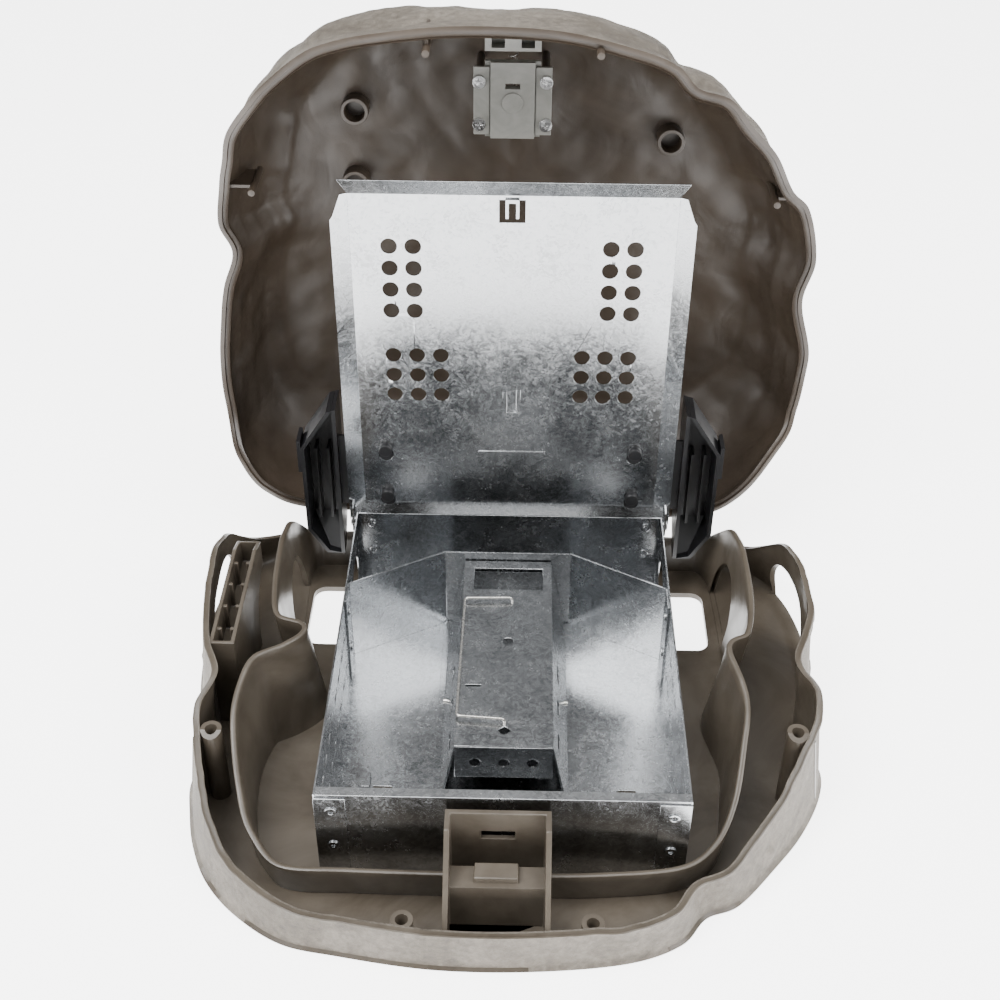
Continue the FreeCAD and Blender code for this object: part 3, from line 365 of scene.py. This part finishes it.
BROW = [
    (0, 179), (-70, 179), (-140, 177), (-170, 167), (-187, 152), (-196, 136), (-203, 96),
    (-199, 56), (-194, 30), (-186, 6), (-192, -16), (-186, -48), (-180, -69), (-173, -92),
    (-155, -117), (-143, -129), (-125, -143), (-110, -150), (-83, -156), (-34, -161), (24, -159),
    (70, -149), (93, -140), (106, -127), (126, -120), (141, -101), (159, -80), (174, -51),
    (188, -34), (199, 4), (194, 36), (204, 78), (199, 116), (188, 138), (140, 176), (70, 179),
]
PARTING = [(-0.115, 0.026), (-0.076, 0.042), (-0.038, 0.062), (-0.004, 0.070),
           (0.094, 0.070), (0.124, 0.060), (0.158, 0.028), (0.176, 0.020)]


def smooth_loop(corners, count):
    """A closed curve through the corners, as evenly spaced points in metres."""
    corners = np.array(corners, float) * MM
    before = np.roll(corners, 1, axis=0)
    after = np.roll(corners, -1, axis=0)
    beyond = np.roll(corners, -2, axis=0)
    steps = np.linspace(0, 1, 24, endpoint=False)[None, :, None]
    a, b, c, d = (part[:, None, :] for part in (before, corners, after, beyond))
    curve = 0.5 * (2 * b + (c - a) * steps + (2 * a - 5 * b + 4 * c - d) * steps ** 2
                   + (3 * b - a - 3 * c + d) * steps ** 3)
    points = curve.reshape(-1, 2)
    closed = np.vstack([points, points[:1]])
    walked = np.concatenate([[0], np.cumsum(np.linalg.norm(np.diff(closed, axis=0), axis=1))])
    places = np.linspace(0, walked[-1], count, endpoint=False)
    return np.stack([np.interp(places, walked, closed[:, axis]) for axis in (0, 1)], axis=1)


def inward(loop):
    """Unit vectors that point into a loop drawn anticlockwise."""
    along = np.roll(loop, -3, axis=0) - np.roll(loop, 3, axis=0)
    along /= np.linalg.norm(along, axis=1)[:, None]
    return np.stack([-along[:, 1], along[:, 0]], axis=1)


def parting(depth, rear_stretch=0.0):
    """Height of the parting line at each depth, with its corners eased."""
    places = np.array([place + (rear_stretch if place > 0.09 else 0) for place, _ in PARTING])
    heights = np.array([height for _, height in PARTING])
    spread = np.linspace(-0.007, 0.007, 9)
    return np.mean([np.interp(depth + shift, places, heights) for shift in spread], axis=0)


rim_loop = smooth_loop(RIM, AROUND)
bay_loop = smooth_loop(BAY, AROUND)
brow_loop = smooth_loop(BROW, AROUND) * 0.997
print("rim loop runs", round(float(np.linalg.norm(np.diff(rim_loop, axis=0), axis=1).sum()), 3), "m")

# %% [markdown]
# ## Rings to a mesh
#
# A moulded shell is a stack of rings: up the outside, over the edge and down the inside. Building it
# ring by ring gives even quads, an edge that can be rounded on purpose, and a closed solid wall.


# %% Ring tools
def ring_mesh(name, rings, cap_start=None, cap_end=None, joined=False):
    """Quads between rings of equal length; a cap is a centre point, and joined closes the stack."""
    count = len(rings[0])
    points = np.vstack(rings)
    faces = []
    spans = len(rings) if joined else len(rings) - 1
    for level in range(spans):
        low = level * count
        high = ((level + 1) % len(rings)) * count
        for index in range(count):
            following = (index + 1) % count
            faces.append((low + index, low + following, high + following, high + index))
    extra = []
    for cap, base, flip in ((cap_start, 0, True), (cap_end, (len(rings) - 1) * count, False)):
        if cap is None:
            continue
        centre = len(points) + len(extra)
        extra.append(cap)
        for index in range(count):
            following = (index + 1) % count
            pair = (base + following, base + index) if flip else (base + index, base + following)
            faces.append((*pair, centre))
    if extra:
        points = np.vstack([points, np.array(extra)])
    mesh = bpy.data.meshes.new(name)
    mesh.from_pydata(points.tolist(), [], faces)
    mesh.update()
    return mesh


def piece_from(mesh, name, body, slot, material, *replaced):
    """Put a mesh in the scene as a finished piece of the station."""
    piece = bpy.data.objects.new(name, mesh)
    bpy.context.collection.objects.link(piece)
    mesh.materials.clear()
    for entry in (material if isinstance(material, (list, tuple)) else [material]):
        mesh.materials.append(entry)
    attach(piece, body)
    if replaced:
        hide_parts(*replaced)
    return piece


def lumps(points, size, depth, seed=0.0):
    """Large uneven relief at each point, from 0 down to -depth."""
    values = np.empty(len(points))
    for index, point in enumerate(points):
        spot = Vector(point) / size + Vector((seed, seed * 0.7, seed * 1.3))
        values[index] = noise.fractal(spot, 0.9, 2.1, 3, noise_basis="PERLIN_ORIGINAL")
    return depth * (np.clip(values, -0.8, 0.8) / 1.6 - 0.5)


def facets(points, size, depth, seed=0.0):
    """Chipped stone facets: steps between flat cells, from 0 down to -depth."""
    values = np.empty(len(points))
    for index, point in enumerate(points):
        spot = Vector(point) / size + Vector((seed, seed * 1.7, seed * 0.6))
        distances, _ = noise.voronoi(spot, distance_metric="DISTANCE", exponent=2.5)
        values[index] = min(1.0, distances[1] - distances[0])
    return -depth * (1 - values)


def cutter(name, mesh_builder):
    """A temporary solid used only to cut openings."""
    mesh = bpy.data.meshes.new(name)
    builder = bmesh.new()
    mesh_builder(builder)
    bmesh.ops.recalc_face_normals(builder, faces=builder.faces)
    builder.to_mesh(mesh)
    builder.free()
    tool = bpy.data.objects.new(name, mesh)
    bpy.context.collection.objects.link(tool)
    return tool


def extrude_outline(builder, outline, low, high, axis):
    """A prism from a closed outline, pushed along X or Z."""
    sides = []
    for level in (low, high):
        if axis == "X":
            sides.append([builder.verts.new((level, a, b)) for a, b in outline])
        else:
            sides.append([builder.verts.new((a, b, level)) for a, b in outline])
    builder.faces.new(sides[0])
    builder.faces.new(sides[1])
    count = len(outline)
    for index in range(count):
        following = (index + 1) % count
        builder.faces.new((sides[0][index], sides[0][following], sides[1][following], sides[1][index]))


def carve(mesh, tools):
    """The mesh without the cutters, as a new mesh."""
    target = bpy.data.objects.new("carving", mesh)
    bpy.context.collection.objects.link(target)
    for tool in tools:
        change = target.modifiers.new(tool.name, "BOOLEAN")
        change.object = tool
        change.operation = "DIFFERENCE"
        change.solver = "FAST"
    graph = bpy.context.evaluated_depsgraph_get()
    carved = bpy.data.meshes.new_from_object(target.evaluated_get(graph))
    bpy.data.objects.remove(target)
    return carved


def shade_by_angle(mesh, angle=40):
    """Smooth shading that breaks at sharp edges."""
    mesh.polygons.foreach_set("use_smooth", [True] * len(mesh.polygons))
    builder = bmesh.new()
    builder.from_mesh(mesh)
    limit = math.radians(angle)
    for edge in builder.edges:
        edge.smooth = len(edge.link_faces) == 2 and edge.calc_face_angle(0) < limit
    builder.to_mesh(mesh)
    builder.free()


# %% [markdown]
# ## The base tray
#
# One moulding: rough stone outside, smooth inside, an eased rim, and arches at both sides where mice
# walk in. The rings run from the middle of the underside, out and up the rock, over the rim and back
# across the floor. Arches and floor wells are then cut with solids of the same sizes as the frame's.

# %% Entry cutters
ENTRY_FROM, ENTRY_TO, ENTRY_HIGH = 0.080, 0.136, 0.046
FLOOR = 0.004
SILL = 0.0005
WELL_RADIUS = 0.008
entry_middle = (ENTRY_FROM + ENTRY_TO) / 2
entry_half = (ENTRY_TO - ENTRY_FROM) / 2


def arch(builder, start, end):
    """An arched way in along X."""
    spring_line = ENTRY_HIGH - entry_half
    outline = [(ENTRY_FROM, FLOOR + SILL), (ENTRY_TO, FLOOR + SILL)]
    for step in range(25):
        angle = math.pi * step / 24
        across = entry_middle + entry_half * math.cos(angle)
        outline.append((across, spring_line + entry_half * math.sin(angle)))
    extrude_outline(builder, outline, start, end, "X")


def well(builder, start, end):
    """A floor opening beside the trap with rounded corners."""
    corners = ((end, ENTRY_TO, 0), (start, ENTRY_TO, 90), (start, ENTRY_FROM, 180), (end, ENTRY_FROM, 270))
    outline = []
    for x, y, first in corners:
        centre_x = x - WELL_RADIUS if x == end else x + WELL_RADIUS
        centre_y = y - WELL_RADIUS if y == ENTRY_TO else y + WELL_RADIUS
        for step in range(7):
            angle = math.radians(first + 15 * step)
            corner_x = centre_x + WELL_RADIUS * math.cos(angle)
            outline.append((corner_x, centre_y + WELL_RADIUS * math.sin(angle)))
    extrude_outline(builder, outline, -0.002, 0.0055, "Z")


arches = [cutter("arch_left", lambda builder: arch(builder, -0.232, -0.101)),
          cutter("arch_right", lambda builder: arch(builder, 0.101, 0.232))]
wells = [cutter("well_left", lambda builder: well(builder, -0.131, -0.103)),
         cutter("well_right", lambda builder: well(builder, 0.103, 0.131))]
print("cutters:", [tool.name for tool in arches + wells])


# %% Base tray mesh
WALL = 0.004
FLARE_ACROSS, FLARE_ALONG = 1.045, 1.002
SKIN_OUT, SKIN_IN = 0.0014, 0.0018


def scaled(loop, across, along):
    """The loop with its two directions scaled."""
    return loop * np.array([across, along])


def lifted(loop, heights):
    """A flat loop with a height at each point."""
    return np.column_stack([loop, np.broadcast_to(heights, len(loop))])


def tray_rings():
    """Every ring of the tray, from the middle of the underside to the middle of the floor."""
    ground = scaled(rim_loop, FLARE_ACROSS, FLARE_ALONG)
    points_in = inward(rim_loop)
    top = parting(rim_loop[:, 1])
    rings = [lifted(ground * share, 0.0) for share in (0.25, 0.5, 0.75, 0.9, 0.97)]
    for share in np.linspace(0, 1, 18):
        loop = ground + (rim_loop - ground) * share
        height = top * share
        ring = lifted(loop, height)
        fade = min(1.0, share * 6) * min(1.0, (1 - share) * 7 + 0.25)
        push = lumps(ring, 0.045, 0.012, 3.0) + facets(ring, 0.030, 0.0035, 5.0) + 0.003
        push = np.clip(push * fade, -SKIN_IN, SKIN_OUT)
        ring[:, :2] -= points_in * push[:, None]
        rings.append(ring)
    edge = rings[-1][:, :2]
    for inset, drop in ((0.0006, -0.0006), (0.0014, -0.0010), (0.0032, -0.0010), (0.0038, -0.0004)):
        rings.append(lifted(edge + points_in * inset, top + drop + 0.0010))
    floor_loop = ground + points_in * (WALL + 0.001)
    for share in np.linspace(1, 0, 14):
        loop = floor_loop + (rim_loop + points_in * WALL - floor_loop) * share
        height = FLOOR + 0.004 + (top - 0.0012 - FLOOR - 0.004) * share
        ring = lifted(loop, height)
        wave = np.maximum(lumps(ring, 0.07, 0.004, 8.0) + 0.002, -0.001)
        ring[:, :2] += points_in * wave[:, None] * min(1.0, (1 - share) * 5) * min(1, share * 4)
        rings.append(ring)
    for inset, height in ((0.0012, 0.0021), (0.0036, 0.0004)):
        rings.append(lifted(floor_loop + points_in * inset, FLOOR + height))
    for share in (0.96, 0.9, 0.82, 0.72, 0.6, 0.45, 0.3, 0.15):
        rings.append(lifted(floor_loop * share, FLOOR))
    return rings


tray_mesh = ring_mesh("base_tray_skin", tray_rings(), cap_start=(0, 0, 0), cap_end=(0, 0, FLOOR))
tray_mesh = carve(tray_mesh, arches + wells)
print("tray has", len(tray_mesh.polygons), "faces")


def split_rock(mesh):
    """Mark the faces of a shell that look away from the station's middle."""
    for polygon in mesh.polygons:
        centre = polygon.center
        outward = Vector((centre.x, centre.y, 0))
        faces_out = polygon.normal.dot(outward) > 0.02 * outward.length
        polygon.material_index = 1 if faces_out and polygon.normal.z < 0.75 else 0


tray_finish = [base_grey, rock_skin]
piece_from(tray_mesh, "base_tray_moulding", "root", "base_plastic", tray_finish, "base_tray")
split_rock(tray_mesh)
shade_by_angle(tray_mesh)

# %% [markdown]
# ## The bay wall
#
# A thin wall stands on the tray's floor round the trap, drawn in at a waist beside each side hole. It
# leans inwards towards its foot, so the mould can let go of it. The ring stack closes on itself, because
# this wall has an outside, an edge and an inside but no middle.

# %% Bay wall mesh
BAY_THICK = 0.0034
BAY_DRAFT = 0.011
DRAFT_FROM, DRAFT_TO = 0.004, 0.082


def bay_rings():
    """Up the outside, over the rounded edge and down the inside."""
    points_in = inward(bay_loop)
    top = parting(bay_loop[:, 1], 0.014)
    rings = []
    for side, shares in ((0.0, np.linspace(0, 1, 14)), (BAY_THICK, np.linspace(1, 0, 14))):
        for share in shares:
            height = FLOOR - 0.0006 + (top - 0.0010 - FLOOR + 0.0006) * share
            draft = BAY_DRAFT * (DRAFT_TO - height) / (DRAFT_TO - DRAFT_FROM)
            ring = lifted(bay_loop, height)
            wave = (lumps(ring, 0.06, 0.0016, 12.0) + 0.0008) * (1 if 0 < share < 1 else 0)
            ring[:, :2] += points_in * (draft + side + wave)[:, None]
            rings.append(ring)
        if side == 0.0:
            draft = BAY_DRAFT * (DRAFT_TO - top) / (DRAFT_TO - DRAFT_FROM)
            for inset, height in ((0.0003, -0.0004), (0.0010, 0.0), (0.0024, 0.0), (0.0031, -0.0004)):
                rings.append(lifted(bay_loop + points_in * (draft + inset)[:, None], top + height))
    return rings


def tower_gap(builder):
    """The stretch of the wall that the latch tower takes."""
    outline = [(-0.030, -0.160), (0.026, -0.160), (0.026, -0.104), (-0.030, -0.104)]
    extrude_outline(builder, outline, 0.0, 0.1, "Z")


gap_tool = cutter("tower_gap", tower_gap)
bay_mesh = carve(ring_mesh("bay_wall_skin", bay_rings(), joined=True), arches + [gap_tool])
piece_from(bay_mesh, "bay_wall_moulding", "root", "base_plastic", base_grey, "bay_wall")
shade_by_angle(bay_mesh)
print("bay wall has", len(bay_mesh.polygons), "faces")

# %% [markdown]
# ## The cover
#
# The upper shell is a dome over its own outline. It is built closed, where it has to meet the base, and
# then turned open about its hinge, just as the frame does. The crown swells out a little, and large lumps
# and chipped facets push the skin back in. The inside follows the large lumps only, and the relief calms
# down towards the rear, where the closed lid's hoods come close to the wall.

# %% Cover mesh
HINGE = Vector((0, 0.187, 0.020))
COVER_OPEN = math.radians(-91)
CROWN = 0.128
SHOULDER = 0.118
RIM_GAP = 0.0014
LEDGE = 0.0028
SWELL = 0.0035
DOME_FROM = 0.062
SHOULDER_TILT = 62
CALM_END, CALM_DEPTH = 0.178, 0.035
WALL_RINGS = 26
CROWN_RINGS = 40


def dome_share(height):
    """How much of the outline is left at a height, across and along."""
    rise = np.clip((height - DOME_FROM) / (CROWN - DOME_FROM), 0, 1)
    across = 1 - 0.235 * rise ** 2.1
    along = 1 - 0.220 * rise ** 2.1
    return across, along


def cover_surface(inner):
    """Rings of one face of the cover, from the rim to the crown."""
    points_in = inward(brow_loop)
    bottom = parting(brow_loop[:, 1]) + RIM_GAP
    rings = []
    for share in np.linspace(0, 1, WALL_RINGS):
        height = bottom + (SHOULDER - bottom) * share
        across, along = dome_share(height)
        flat = np.column_stack([brow_loop[:, 0] * across, brow_loop[:, 1] * along])
        tilt = math.radians(SHOULDER_TILT) * share ** 2.2
        lean = np.column_stack([points_in * math.cos(tilt), np.full(AROUND, -math.sin(tilt))])
        fade = min(1.0, share * 3.4 + 0.04)
        flange = LEDGE * max(0.0, 1 - share * 14) if inner else 0.0
        swell = SWELL * min(1.0, max(0.0, (share - 0.55) / 0.3))
        rings.append(skin_ring(lifted(flat, height), lean, fade, inner, flange - swell))
    last_across, last_along = dome_share(np.array([SHOULDER]))
    for share in np.linspace(0.985, 0.04, CROWN_RINGS):
        height = SHOULDER + (CROWN - SHOULDER) * (1 - share ** 5) ** 0.5
        flat = np.column_stack([brow_loop[:, 0] * last_across * share, brow_loop[:, 1] * last_along * share])
        tilt = math.radians(SHOULDER_TILT + (90 - SHOULDER_TILT) * min(1.0, (1 - share) * 5))
        lean = np.column_stack([points_in * math.cos(tilt), np.full(AROUND, -math.sin(tilt))])
        rings.append(skin_ring(lifted(flat, height), lean, 1.0, inner, -SWELL))
    return rings


def skin_ring(ring, lean, fade, inner, shift):
    """Push one ring in by the stone's relief, or by the wall on the inside."""
    calm = np.clip((CALM_END - ring[:, 1]) / CALM_DEPTH, 0.05, 1.0)
    broad = -lumps(ring, 0.075, 0.0060, 21.0) * calm
    if inner:
        wave = 0.0008 + lumps(ring, 0.035, 0.0016, 31.0)
        push = WALL + shift + (broad + wave * calm) * fade
    else:
        chips = -facets(ring, 0.040, 0.0018, 27.0) - 0.3 * lumps(ring, 0.018, 0.0024, 5.0)
        push = shift + (broad + chips * calm) * fade
    return ring + lean * push[:, None]


def cover_rings():
    """Down from the crown outside, round the stepped rim and up to the crown inside."""
    outside = cover_surface(False)
    inside = cover_surface(True)
    outer_edge, inner_edge = outside[0], inside[0]
    steps = []
    for share, lift in ((0.12, -0.0004), (0.45, -0.0004), (0.50, 0.0012), (0.86, 0.0012), (0.96, 0.0018)):
        ring = outer_edge + (inner_edge - outer_edge) * share
        ring[:, 2] += lift
        steps.append(ring)
    return outside[::-1] + steps + inside


def crown_centre(inner):
    """The middle point of one face of the crown."""
    return skin_ring(np.array([[0.0, 0.0, CROWN]]), np.array([[0.0, 0.0, -1.0]]), 1.0, inner, -SWELL)[0]


cover_mesh = ring_mesh("cover_skin", cover_rings(), cap_start=crown_centre(False), cap_end=crown_centre(True))
cover_mesh.flip_normals()
opening = Matrix.Translation(HINGE) @ Matrix.Rotation(COVER_OPEN, 4, "X") @ Matrix.Translation(-HINGE)
cover_mesh.transform(opening)
# Inside faces take the cover's painted shade, outside faces take the rock skin.
cover_finish = [cover_painted_shade, rock_skin]
piece_from(cover_mesh, "cover_moulding", "cover", "cover_plastic", cover_finish, "cover_shell")
outside_faces = (WALL_RINGS + CROWN_RINGS - 1) * AROUND
cap_faces = len(cover_mesh.polygons) - 2 * AROUND
for polygon in cover_mesh.polygons:
    rock_side = polygon.index < outside_faces or cap_faces <= polygon.index < cap_faces + AROUND
    polygon.material_index = 1 if rock_side else 0
shade_by_angle(cover_mesh, 50)
print("cover has", len(cover_mesh.polygons), "faces")

# %% [markdown]
# ## Eased edges
#
# A moulded or folded part never has a razor edge. Small pieces keep the frame's exact shape and size,
# but their copy gets eased edges that catch the light. Welding and dissolving flat triangles first lets
# the bevel run along real edges only. Faces larger than FLAT_FROM, in square metres, stay flat shaded.

# %% Eased copies
FLAT_FROM = 2.0e-5
slot_of = {entry["node"]: entry["material_slot"] for entry in frame["record"]["subparts"]}
bodies = frame["record"]["behaviour"]["bodies"]


def eased(node_name, width, material):
    """A copy of a frame piece with eased edges, standing in for it."""
    source = nodes[node_name]
    mesh = source.data.copy()
    mesh.name = node_name + "_skin"
    builder = bmesh.new()
    builder.from_mesh(mesh)
    bmesh.ops.remove_doubles(builder, verts=builder.verts, dist=2e-6)
    bmesh.ops.dissolve_limit(builder, angle_limit=math.radians(1.0), verts=builder.verts, edges=builder.edges)
    for edge in builder.edges:
        edge.smooth = True
    builder.to_mesh(mesh)
    builder.free()
    shaper = bpy.data.objects.new("shaper", mesh)
    bpy.context.collection.objects.link(shaper)
    bevel = shaper.modifiers.new("ease", "BEVEL")
    bevel.width = width
    bevel.segments = 2
    bevel.limit_method = "ANGLE"
    bevel.angle_limit = math.radians(28)
    bevel.use_clamp_overlap = True
    bpy.context.view_layer.update()
    graph = bpy.context.evaluated_depsgraph_get()
    smooth = bpy.data.meshes.new_from_object(shaper.evaluated_get(graph))
    bpy.data.objects.remove(shaper)
    body = [name for name, members in bodies.items() if node_name in members][0]
    piece_from(smooth, node_name + "_piece", body, slot_of[node_name], material, node_name)
    shade_by_angle(smooth, 35)
    for polygon in smooth.polygons:
        if polygon.area > FLAT_FROM:
            polygon.use_smooth = False


EASED = [
    (("screw_posts", "key_pocket", "latch_tower", "base_hinge_knuckles"), 0.0005, base_grey),
    # Pieces inside the cover take the cover's painted shade.
    (("locating_pins", "crown_cups", "cover_hinge_knuckles", "latch_posts"), 0.0004, cover_painted_shade),
    (("hood_left", "hood_right", "hood_studs"), 0.0006, hood_black),
    (("latch_straps", "key_bracket", "latch_bolt"), 0.0004, latch_grey),
    (("latch_screws",), 0.0004, screw_zinc),
    (("treadle_weight", "hinge_pins", "treadle_pin"), 0.0003, bright_wire),
    (("trap_floor", "trap_side_left", "trap_side_right", "trap_front_wall", "trap_rear_wall", "trap_rivets",
      "baffle_left", "baffle_right", "baffle_door", "tunnel_side_left", "tunnel_side_right", "tunnel_roof",
      "tunnel_front_strip", "floor_tongue", "lid_panel", "lid_flange_left", "lid_flange_right",
      "lid_front_lip", "lid_catch", "lid_pivot_rivets", "treadle"), 0.00018, sheet_zinc),
]
for names, width, material in EASED:
    for name in names:
        eased(name, width, material)
print("eased", sum(len(names) for names, _, _ in EASED), "pieces")

# %% [markdown]
# ## Frame pieces that stay as they are
#
# Springs, clips and pins keep the frame's own mesh and only take a finish.


# %% Finishes on the frame's own pieces
FINISH = {"bright_steel": bright_wire}
for name, node in nodes.items():
    material = FINISH.get(slot_of[name], base_grey)
    if not node.material_slots:
        node.data.materials.append(material)
    for entry in node.material_slots:
        entry.material = material
print("finished", len(nodes), "frame pieces")

# %% [markdown]
# ## Stage and light
#
# A pale floor that gives off light itself, soft studio lights from above and both sides, and an even
# white surround.


# %% Stage
def stage_light(name, place, aim, size_x, size_y, power):
    """A soft rectangular studio light."""
    lamp = bpy.data.lights.new(name, "AREA")
    lamp.shape = "RECTANGLE"
    lamp.size = size_x
    lamp.size_y = size_y
    lamp.energy = power
    holder = bpy.data.objects.new(name, lamp)
    bpy.context.collection.objects.link(holder)
    holder.location = place
    holder.rotation_euler = (Vector(aim) - Vector(place)).to_track_quat("-Z", "Y").to_euler()


floor_mesh = bpy.data.meshes.new("floor")
floor_mesh.from_pydata([(-4, -4, 0), (4, -4, 0), (4, 4, 0), (-4, 4, 0)], [], [(0, 1, 2, 3)])
floor = bpy.data.objects.new("floor", floor_mesh)
bpy.context.collection.objects.link(floor)
floor.location.z = -0.0005
pale, _, pale_shader = finish_start("pale_floor")
pale_shader.inputs["Base Color"].default_value = (0.95, 0.95, 0.95, 1)
pale_shader.inputs["Roughness"].default_value = 0.9
pale_shader.inputs["Emission Color"].default_value = (1, 1, 1, 1)
pale_shader.inputs["Emission Strength"].default_value = 4.0
floor_mesh.materials.append(pale)

stage_light("key", (-0.8, -0.5, 1.5), (0, 0.05, 0.05), 0.9, 0.9, 34)
stage_light("fill", (1.1, -0.6, 1.2), (0, 0.05, 0.1), 0.8, 0.8, 20)
stage_light("top", (0, 0.1, 1.9), (0, 0.05, 0), 1.4, 0.7, 22)
world = bpy.data.worlds.new("studio")
world.use_nodes = True
world.node_tree.nodes["Background"].inputs["Color"].default_value = (1, 1, 1, 1)
world.node_tree.nodes["Background"].inputs["Strength"].default_value = 0.65
bpy.context.scene.world = world

# %% [markdown]
# ## Close
#
# The cutters go.

# %% Close
for tool in arches + wells + [gap_tool]:
    bpy.data.objects.remove(tool)
